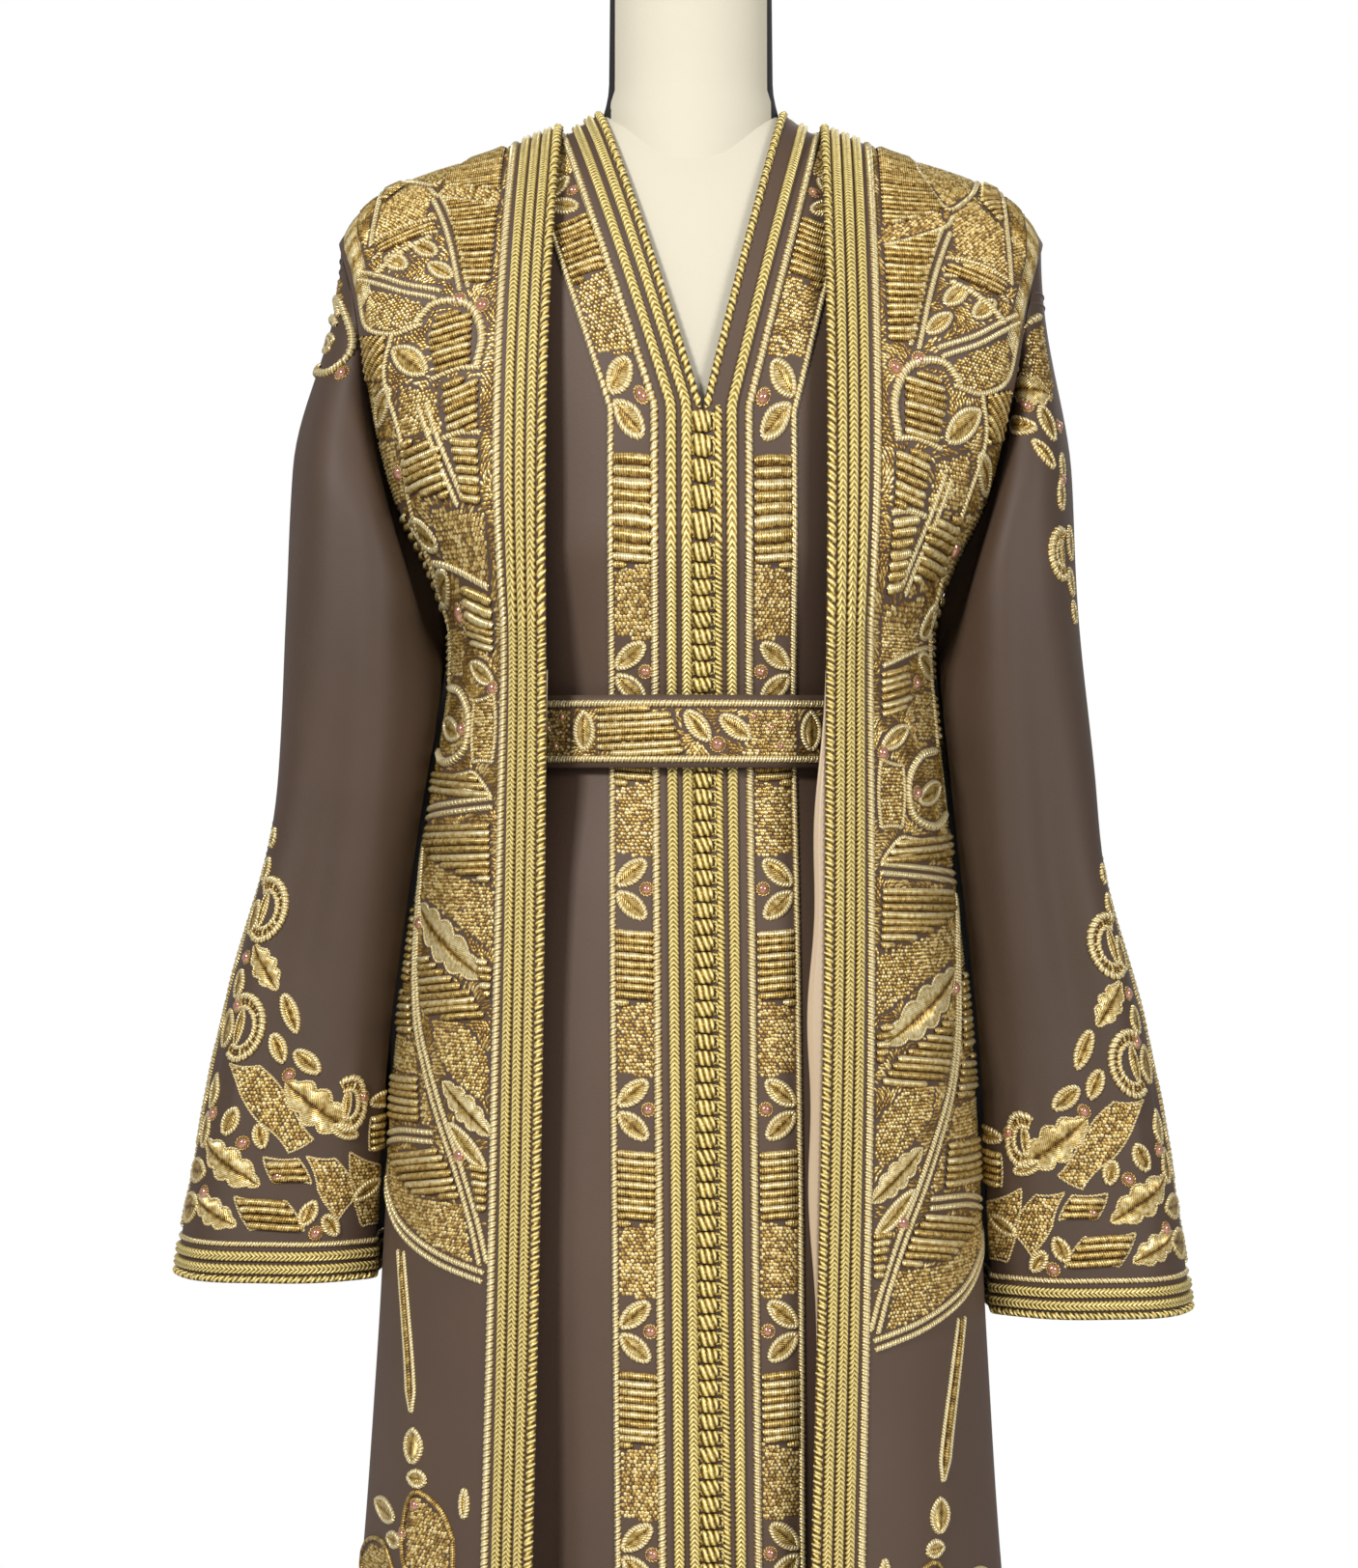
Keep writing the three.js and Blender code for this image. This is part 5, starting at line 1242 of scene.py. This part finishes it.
def lower_motif(work, fall):
    """The stripe and the cluster, let down by fall."""
    stripe = np.array(STRIPE, float) - [0, fall]
    work.cord(curve_through(stripe, 3), 2.6, 0.22, kind="satin", taper=0.15)
    for way in (-1, 1):
        beside = curve_through(stripe + [way * 4.8, 0], 1.5)
        beside[:, 0] += (way * -4.2) * ease((640 - fall - beside[:, 1]) / 18)
        work.cord(beside, 1.6, 0.93)
    leaf(work, (96, 603 - fall), 25, 20, 90)
    leaf(work, (91, 583 - fall), 20, 13, 0)
    bead(work, (92, 566 - fall), 3.4)
    for corners in TEARDROPS:
        shape = np.array(corners, float) - [0, fall]
        loop = np.concatenate([shape, shape[:1]])
        work.cord(curve_through(loop, 1.6), 2.0, 0.3, kind="satin")
        seeds(work, shrunk(shape, 3.0))
    for x, y, length, width, tilt in CLUSTER_LEAVES:
        leaf(work, (x, y - fall), length, width, tilt)
    for spot in ((104, 546), (112, 506), (108, 478), (84, 436)):
        bead(work, np.array(spot, float) - [0, fall], 3.4)


for name, side in SIDES.items():
    lower = LEFT_LOWER if name == "left" else 0.0
    work = Needlework(ROBE_ON)
    field(work, lower)
    lower_motif(work, lower)
    panel = robe_surface[name]
    work.piece(f"robe_{name}_embroidery", panel, "embroidery", [f"robe_front_{name}"], side < 0)


# Facings: champagne satin inside the robe's front edges, hanging between the braids and the dress.
# The left one sags out past its edge in three waves.
def satin_material():
    """Champagne satin: a smooth sheen with a very fine grain."""
    material, tree, shader = plain("champagne_satin", (0.52, 0.385, 0.245), 0.3, sheen=0.1)
    bumped(tree, shader, noise(tree, 600.0, 1.0), 0.12, 0.0003)
    return material


SATIN = satin_material()
FACING_WIDE, FACING_LOW, FACING_HIGH = 25.0, 630.0, 1103.0
LINING_CLOTH = 1.0
LINING_GAP = 0.6
UNDER = -(ROBE_CLOTH / 2 + LINING_GAP + LINING_CLOTH / 2)  # height of its middle on the robe's surface
# station, width and how far each wave comes out past the edge
FACING_SAG = {"right": [(1150, 60, 2)], "left": [(1000, 60, 8), (885, 60, 11), (775, 60, 8)]}
for name in SIDES:
    w = np.linspace(FACING_LOW, FACING_HIGH, 90)
    sag = sum(out * np.exp(-(((w - at) / wide) ** 2)) for at, wide, out in FACING_SAG[name])
    share = np.linspace(0, 1, 9)
    q = (1 - sag)[:, None] + (FACING_WIDE - 1 + sag)[:, None] * share
    flat = np.stack([q, np.repeat(w[:, None], len(share), 1), np.full(q.shape, UNDER)], -1)
    points = robe_surface[name].at(flat)
    out = points - robe_surface[name].at(flat - [0, 0, 1])
    cloth(f"robe_facing_{name}_satin", points, out, LINING_CLOTH, [f"robe_facing_{name}"], SATIN)


# Sleeves: plain crepe set on at a dropped armhole, hanging as open tubes that widen to the cuff.
# The cloth puckers above the stiff cuff embroidery, and the inner side leans against the robe.
# The sleeves' cloth is the same crepe painted darker: painted shade on the sleeves
SHADED_SLEEVE_CREPE = crepe_material("shaded_sleeve_crepe", (0.064, 0.037, 0.022), (0.076, 0.044, 0.027))
# height, outer and inner distance from the middle, half depth, and y of the middle
SLEEVES = {
    "right": [(701, 346, 214, 60, 6), (752, 338, 211, 59, 6), (895, 309, 200, 62, 6),
              (992, 283, 188, 70, 6), (1038, 276, 181, 76, 6), (1142, 270, 170, 86, 6),
              (1233, 266, 170, 82, 6), (1317, 260, 170, 68, 7), (1400, 246, 170, 50, 8)],
    "left": [(677, 336, 207, 60, 6), (745, 327, 203, 59, 6), (875, 303, 196, 62, 6),
             (972, 278, 186, 70, 6), (1038, 270, 179, 76, 6), (1142, 258, 170, 86, 6),
             (1233, 254, 170, 82, 6), (1317, 250, 170, 68, 7), (1400, 243, 170, 50, 8)],
}
SETTLE = 0.22  # share of the length over which the armhole's shape turns into the hanging tube's
LEAN_IN = 45.0  # most that the inner side leans in, at a turn of 215 degrees
ROBE_CLEAR = 7.0  # how far off the robe's side it stops
ARMHOLE_LOW = 1265.0
BEND = 270.0  # height above the cuff where level rows end
# turn, width and depth of each long fold
SLEEVE_FOLDS = [(44, 18, 5), (84, 17, -6), (122, 18, 5), (205, 28, 4), (250, 20, -6), (290, 18, 5),
                (326, 20, -4)]
SLEEVE_TURNS = np.arange(0, 360, 5.0)
sleeve_levels = [(above, 0.0) for above in np.arange(0, BEND, 6)]
sleeve_levels += [(BEND, rise) for rise in 1 - (1 - np.linspace(0, 1, 46)) ** 1.25]


def against_robe(points, turn, side):
    """Leans the inner side in by 45 exp(-((turn - 215) / 60)^2) below the armhole, just off the robe."""
    x, y, z = side * points[..., 0], points[..., 1], points[..., 2]
    lean = LEAN_IN * np.exp(-(((turn - 215) / 60) ** 2)) * ease((1145 - z) / 80)
    half = (ROBE.left if side > 0 else ROBE.right)(z)
    deep = np.where(y < 0, ROBE.front(z), ROBE.back(z))
    wall = half * np.maximum(1 - np.abs(y / deep) ** SQUARE, 0) ** (1 / SQUARE) + ROBE_CLEAR
    return side * np.maximum(x - lean, np.minimum(x, wall))


def armhole_start(turn, side):
    """Points just inside the robe's armhole: 0 is the shoulder tip, 90 the front, 180 the underarm.

    station = chest + rise (1 - fall / 180), where fall is the turn from the tip on either side.
    """
    fall = np.where(turn <= 180, turn, 360 - turn)
    station = ROBE.chest + ROBE.rise * (1 - fall / 180)
    lean = (1 + np.cos(np.radians(turn))) / 2
    front = (turn <= 180)[:, None]
    edge, within = (
        np.where(front, ROBE.point(station, side * share, FRONT), ROBE.point(station, side * share, BACK))
        for share in (1, 0.96)
    )
    towards = np.stack([0 * turn, SHOULDER_Y - edge[:, 1], (edge[:, 2] + ARMHOLE_LOW) / 2 - edge[:, 2]], -1)
    towards /= np.linalg.norm(towards, axis=1, keepdims=True)
    inwards = (within - edge) / np.linalg.norm(within - edge, axis=1, keepdims=True)
    start = edge + towards * (1.0 + 1.5 * lean)[:, None] + inwards * (2.6 * lean)[:, None]
    start[:, 0] += side * 3.0 * (1 - lean)
    return start


sleeve_surface = {}
for name, side in SIDES.items():
    outer, inner, deep, middle = (
        smooth_curve([(row[0], row[column]) for row in SLEEVES[name]]) for column in (1, 2, 3, 4)
    )
    cuff = SLEEVES[name][0][0]
    start = armhole_start(SLEEVE_TURNS, side)
    above, rise = np.array(sleeve_levels).T[:, :, None]
    z = cuff + above + (start[:, 2] - cuff - above) * rise
    share = (start[:, 2] - z) / (start[:, 2] - cuff)
    angle = np.radians(SLEEVE_TURNS)
    fold = 0 * SLEEVE_TURNS
    for at, wide, depth in SLEEVE_FOLDS:
        fold = fold + depth * np.exp(-((((SLEEVE_TURNS - at + 540) % 360 - 180) / wide) ** 2))
    swell = fold * ease(share / 0.3) * (1 - 0.5 * ease((share - 0.8) / 0.2))
    pucker = 1.1 * np.exp(-(((z - cuff - 128) / 22) ** 2)) * np.cos(20 * angle)
    pucker = pucker + 1.6 * np.sin(5 * angle + z / 90) * ease((z - cuff - 160) / 80) * ease(share / 0.2)
    # The tube: x = side (middle + half cos(turn)), y = middle - deep sin(turn), with folds and puckers added
    half = (outer(z) - inner(z)) / 2
    hang = np.stack([
        side * ((outer(z) + inner(z)) / 2 + (half + swell * 0.4 + pucker) * np.cos(angle)),
        middle(z) - (deep(z) + swell + pucker) * np.sin(angle),
        z,
    ], -1)
    points = start[None] + (hang - start[None]) * ease(share / SETTLE)[..., None]
    points[..., 2] = z
    points[..., 0] = against_robe(points, SLEEVE_TURNS, side)
    out = -side * outward(points, ring=True)
    cloth(f"robe_sleeve_{name}_cloth", points, out, ROBE_CLOTH, [f"robe_sleeve_{name}"],
          SHADED_SLEEVE_CREPE, ring=True)
    # The same sleeve read by height and by distance round it from its outer line, forwards counting up
    heights = np.arange(cuff, 1392, 6.0)
    order = np.argsort((SLEEVE_TURNS + 180) % 360)
    order = np.append(order, order[0])
    level, face = (
        np.stack([np.stack([np.interp(heights, z[:, j], grid[:, j, k]) for k in range(3)], -1)
                  for j in order], 1)
        for grid in (points, out)
    )
    round_it = np.cumsum(np.linalg.norm(np.diff(level, axis=1), axis=2), 1)
    round_it = np.concatenate([0 * round_it[:, :1], round_it], 1)
    round_it -= round_it[:, len(order) // 2][:, None]
    sleeve_surface[name] = Surface(heights - cuff, round_it, level, face), round_it[4, 0], round_it[4, -1]


# Cuffs: a knotted edge, two rows of yellow braid and a thin pale rope, sewn round the sleeve's hem,
# then a deep border of leaves, ovals, seeds, bars and beads that climbs the outer side in horseshoes.
# Two seam lines near the head and the motifs of the upper arm belong to the same needlework.
def crescent(work, middle, radius):
    """A horseshoe of two thick twisted ropes on oval arcs, with short strands between and a leaf inside."""
    turn = np.radians(np.linspace(-128, 128, 27))
    ring = np.stack([0.72 * np.cos(turn), np.sin(turn)], -1)
    outer, inner = ring * radius + middle, ring * (radius - 7.5) + middle
    strands(work, inner, outer, 18, 0.4)
    for line, thick in ((outer, 2.4), (inner, 1.7)):
        work.cord(curve_through(line, 1.1), thick, 0.84, pitch=4.2, **ROPE)
    leaf(work, np.array(middle) - [0.1 * radius, 0], 1.3 * radius, 0.42 * radius, 84, rim=1.1)


# The tables have the field's columns. Places are (s, a): s forward from the sleeve's outer line, a above
# its hem. The back half is the front half's mirror.
CUFF_CELLS = [
    ("seeds", 0, [(48, 144), (72, 143), (99, 118), (116, 95), (101, 86), (80, 104), (62, 128)]),
    ("bars", 2, [(84, 83), (108, 82), (119, 66), (93, 67)]),
    ("bars", -3, [(69, 57), (104, 54), (119, 35), (83, 35)]),
    ("seeds", 0, [(113, 84), (132, 82), (153, 56), (141, 42), (124, 62)]),
    ("seeds", 0, [(142, 86), (178, 74), (193, 34), (160, 36)]),
    ("bars", 8, [(156, 108), (192, 112), (192, 88), (158, 86)]),
]
CUFF_LEAVES = [
    ("scallop", 60, 78, 58, 18, -30), ("scallop", 54, 46, 44, 15, -24), ("scallop", 116, 116, 58, 21, -36),
    ("leaf", 58, 106, 22, 14, 70), ("leaf", 80, 97, 20, 12, -70), ("leaf", 120, 46, 20, 13, 70),
    ("leaf", 136, 38, 20, 12, -50), ("leaf", 34, 124, 27, 20, 84), ("leaf", 30, 98, 26, 18, 96),
    ("leaf", 26, 71, 34, 18, 0), ("leaf", 24, 46, 34, 22, 10), ("leaf", 82, 155, 25, 12, -60),
    ("leaf", 104, 146, 28, 13, -34), ("leaf", 86, 178, 32, 12, -62), ("scallop", 64, 208, 38, 14, -54),
    ("leaf", 42, 196, 22, 16, 84), ("leaf", 36, 166, 28, 22, 90), ("leaf", 44, 240, 26, 17, 84),
    ("leaf", 46, 272, 19, 13, 84), ("leaf", 46, 293, 16, 11, 90), ("leaf", 160, 60, 26, 12, 30),
    ("leaf", 168, 120, 30, 12, 12), ("leaf", 136, 100, 24, 11, -20), ("leaf", 12, 120, 24, 16, 90),
    ("leaf", 10, 96, 22, 15, 90), ("leaf", 10, 170, 26, 16, 90), ("leaf", 10, 214, 28, 15, 90),
]
# middle and radius of each horseshoe
CUFF_CRESCENTS = [(56, 246, 20), (54, 168, 21), (138, 118, 17)]
CUFF_STEM = [(2, 30), (-5, 70), (4, 120), (-2, 170), (3, 220), (-2, 262), (2, 306)]
CUFF_BEADS = [(69, 92), (94, 137), (127, 33), (46, 214), (46, 182), (44, 58), (40, 110), (96, 70),
              (150, 122)]
# Upper arm: a rope scroll on the right sleeve, a falling spray of leaves on the left one
UPPER_LEAVES = {
    "right": [("leaf", 20, 624, 40, 14, 0), ("leaf", -24, 622, 26, 12, 20)],
    "left": [("scallop", 68, 613, 40, 18, 8), ("leaf", 62, 590, 26, 16, 84), ("leaf", 86, 589, 30, 15, 8),
             ("leaf", 74, 569, 24, 12, 60), ("leaf", 54, 562, 22, 11, 110), ("leaf", 62, 543, 24, 13, 100),
             ("leaf", 48, 512, 26, 16, 90), ("leaf", 52, 486, 22, 14, 70), ("leaf", 50, 466, 18, 12, 84)],
}
UPPER_ROPES = {
    "right": [[(-40, 640), (-20, 652), (10, 655), (38, 648), (54, 630), (59, 612), (49, 602), (20, 604),
               (-24, 608)],
              [(-20, 640), (18, 641), (38, 634)]],
    "left": [[(40, 664), (58, 656), (70, 640), (72, 626)]],
}
UPPER_CRESCENTS = {"right": [], "left": [(68, 504, 16)]}
UPPER_SEEDS = {"right": [(-40, 662), (-10, 668), (30, 660), (44, 650), (0, 656)],
               "left": [(36, 660), (54, 652), (66, 624), (50, 604), (38, 618)]}
UPPER_BEADS = {"right": [(60, 600)], "left": [(73, 602), (58, 553), (44, 590)]}


# heights above the sleeve's hem
CUFF_BRAIDS_AT = (9.2, 17.6)
CUFF_ROPE_AT = 25.6
SEAM_LINES_AT = (672, 679)
for name, side in SIDES.items():
    surface, back_end, front_end = sleeve_surface[name]
    around = front_end - back_end
    trims = Needlework(ROBE_ON)

    def ring_line(height, step):
        """A line round the sleeve at one height above its hem."""
        s = np.linspace(back_end, front_end, int(around / step))
        return np.stack([s, np.full(len(s), height)], -1)

    trims.cord(ring_line(2.4, 1.2), 2.2, 0.72, pitch=4.6, **KNOTTED)
    for height in CUFF_BRAIDS_AT:
        trims.cord(ring_line(height, 4.0), 3.2, 0.7, kind="braid", high=0.9)
    trims.piece(f"robe_cuff_{name}_braids", surface, "braid", [f"robe_cuff_braid_{name}"], side > 0)
    work = Needlework(ROBE_ON, deeper=0.1)
    work.cord(ring_line(CUFF_ROPE_AT, 1.2), 1.8, 0.84, swell=0.14, pitch=3.4, twist=0.9)
    for way in (1, -1):
        for fill, tilt, corners in CUFF_CELLS:
            cell(work, fill, tilt * way, np.array(corners, float) * [way, 1], 0.9, 0.84)
        for kind, s, a, length, wide, tilt in CUFF_LEAVES + UPPER_LEAVES[name]:
            leaf(work, (s * way, a), length, wide, tilt * way, 4 if kind == "scallop" else 0)
        for s, a in CUFF_BEADS + UPPER_BEADS[name]:
            bead(work, (s * way, a), 3.8)
        for rope in UPPER_ROPES[name]:
            path = curve_through(np.array(rope, float) * [way, 1], 1.1)
            work.cord(path, 2.7, 0.84, pitch=4.2, **ROPE)
        seeds(work, np.array(UPPER_SEEDS[name], float) * [way, 1])
    work.cord(curve_through(CUFF_STEM, 1.2), 2.2, 0.82, pitch=4.2, **ROPE)
    for s, a, radius in CUFF_CRESCENTS + UPPER_CRESCENTS[name]:
        crescent(work, (s, a), radius)
    for height in SEAM_LINES_AT:
        seam = np.stack([np.arange(-60, 62, 4.0), np.full(31, float(height))], -1)
        work.cord(seam, 1.0, 0.5, kind="crepe")
    stands_for = [f"robe_sleeve_{name}"]
    work.piece(f"robe_sleeve_{name}_embroidery", surface, "embroidery", stands_for, side > 0)


# Dress form: a smooth torso and neck covered in cream linen, black down the sides of the neck,
# with a black cap, on a steel pole and a round black foot.
LINEN_COLOR = (0.655, 0.605, 0.475)
BLACK_COLOR = (0.012, 0.012, 0.014)


def linen_material():
    """Cream linen over the form, black at its sides: an attribute says where the side panel starts."""
    material, tree, shader = plain("cream_linen", LINEN_COLOR, 0.85)
    dark = node(tree, "ShaderNodeAttribute", attribute_name="tone").outputs["Fac"]
    colored(tree, shader, dark, [(0.48, LINEN_COLOR), (0.52, BLACK_COLOR)])
    bumped(tree, shader, noise(tree, 800.0, 2.0), 0.3, 0.0004)
    return material


LINEN = linen_material()
STEEL = plain("steel", (0.42, 0.42, 0.44), 0.3, 0.9)[0]
BLACK = plain("black_cloth", BLACK_COLOR, 0.6)[0]
FORM = Layer(
    1180, 340, 0,
    [(790, 150, 150, 96, 98), (860, 166, 166, 114, 110), (960, 148, 148, 104, 99), (1064, 119, 119, 90, 83),
     (1110, 124, 124, 95, 84), (1180, 139, 139, 113, 90)],
    [(0, 1488), (58, 1479.4), (80, 1465.6), (100, 1457.5), (130, 1446.5), (166, 1431.8)],
    [(0, 139), (0.35, 142), (0.75, 156), (1, 166)],
    (62, 58, 1465.2),
)
NECK_TOP = 1600.0
# height, half width, half depth and y of the middle of the neck
NECK_RINGS = [(1380, 56, 66, 4), (1440, 61, 68, 4), (1466, 60.5, 62, 4), (1478, 59.4, 57.5, 3),
              (1486, 57.2, 54.5, 2.4), (1496, 55.4, 52.4, 1.6), (1512, 55, 51, 1), (1599, 54, 50, -2)]


def closed_stack(rings, start):
    """Points and faces of a stack of rings, closed at each end by a fan about the ring's middle.

    The faces' numbers count from start.
    """
    rows, count = rings.shape[:2]
    points = np.concatenate([rings.reshape(-1, 3), rings[0].mean(0)[None], rings[-1].mean(0)[None]])
    side = np.arange(count)
    low = np.stack([(side + 1) % count, side, np.full(count, rows * count)], -1)
    high = np.stack([side, (side + 1) % count, np.full(count, rows * count + 1)], -1)
    high[:, :2] += (rows - 1) * count
    return points, grid_faces(rows, count, ring=True) + start, np.concatenate([low, high]) + start


stations = np.concatenate([np.linspace(790, 1180, 40), np.linspace(1190, 1518, 36)])
angle = np.linspace(0, 2 * math.pi, 73)[:-1]
front = FORM.point(stations[:, None], np.sin(angle), FRONT)
behind = FORM.point(stations[:, None], np.sin(angle), BACK)
torso = np.where((np.cos(angle) > 1e-9)[None, :, None], front, behind)
neck_z = np.linspace(1380, 1599, 30)
half, deep, middle = (
    smooth_curve([(row[0], row[column]) for row in NECK_RINGS])(neck_z)[:, None] for column in (1, 2, 3)
)
neck = np.stack([half * np.sin(angle), middle - deep * np.cos(angle), neck_z[:, None] + 0 * angle], -1)
torso_points, torso_quads, torso_fans = closed_stack(torso, 0)
neck_points, neck_quads, neck_fans = closed_stack(neck, len(torso_points))
form_points = np.concatenate([torso_points, neck_points])
on_neck = np.arange(len(form_points)) >= len(torso_points)
beside_neck = (np.abs(form_points[:, 1] - SHOULDER_Y) < 16) & (form_points[:, 2] > 1440)
# The black side panels start at nine tenths of the neck's half width, a little further out low down
panel_from = 0.9 + 0.05 * (form_points[:, 2] < 1490)
neck_tone = ease((np.abs(form_points[:, 0]) / NECK_RINGS[-1][1] - panel_from) / 0.08)
form_tone = np.where(on_neck, neck_tone, 1.0 * beside_neck)
build("form_linen", form_points, [torso_quads, neck_quads, torso_fans, neck_fans], [LINEN],
      ["form_torso"], tone=form_tone)


def turned_piece(name, profile, height, y, stands_for, material, sides=64):
    """A turned piece: each (radius r, height) corner is a ring x = r sin(turn), y = -r cos(turn)."""
    rings = []
    for radius, z in profile:
        turn = np.linspace(0, 2 * math.pi, sides + 1)[:-1]
        rings.append(np.stack([radius * np.sin(turn), y - radius * np.cos(turn), 0 * turn + z + height], -1))
    points, quads, fans = closed_stack(np.stack(rings), 0)
    return build(name, points, [quads, fans], [material], stands_for)


LID = [(53, 0.0), (54.6, 0.6), (55, 3), (54.6, 5), (52, 9), (40, 11.2), (20, 13), (4, 14)]
POLE = [(33.4, 12.6), (34, 13.2), (30, 22), (18, 26), (14.4, 29), (14, 31), (14, 760), (15, 762),
        (23.6, 771), (24, 773), (24, 788), (23, 789.4)]
FOOT = [(149.4, 0), (150, 0.6), (150, 7.4), (149, 9.4), (144, 12), (20, 12)]
turned_piece("form_neck_lid", LID, NECK_TOP - 0.4, -2, ["form_neck_cap"], BLACK)
turned_piece("pole", POLE, 0, 0, ["stand_pole"], STEEL)
turned_piece("foot", FOOT, 0, 0, ["stand_foot"], BLACK)
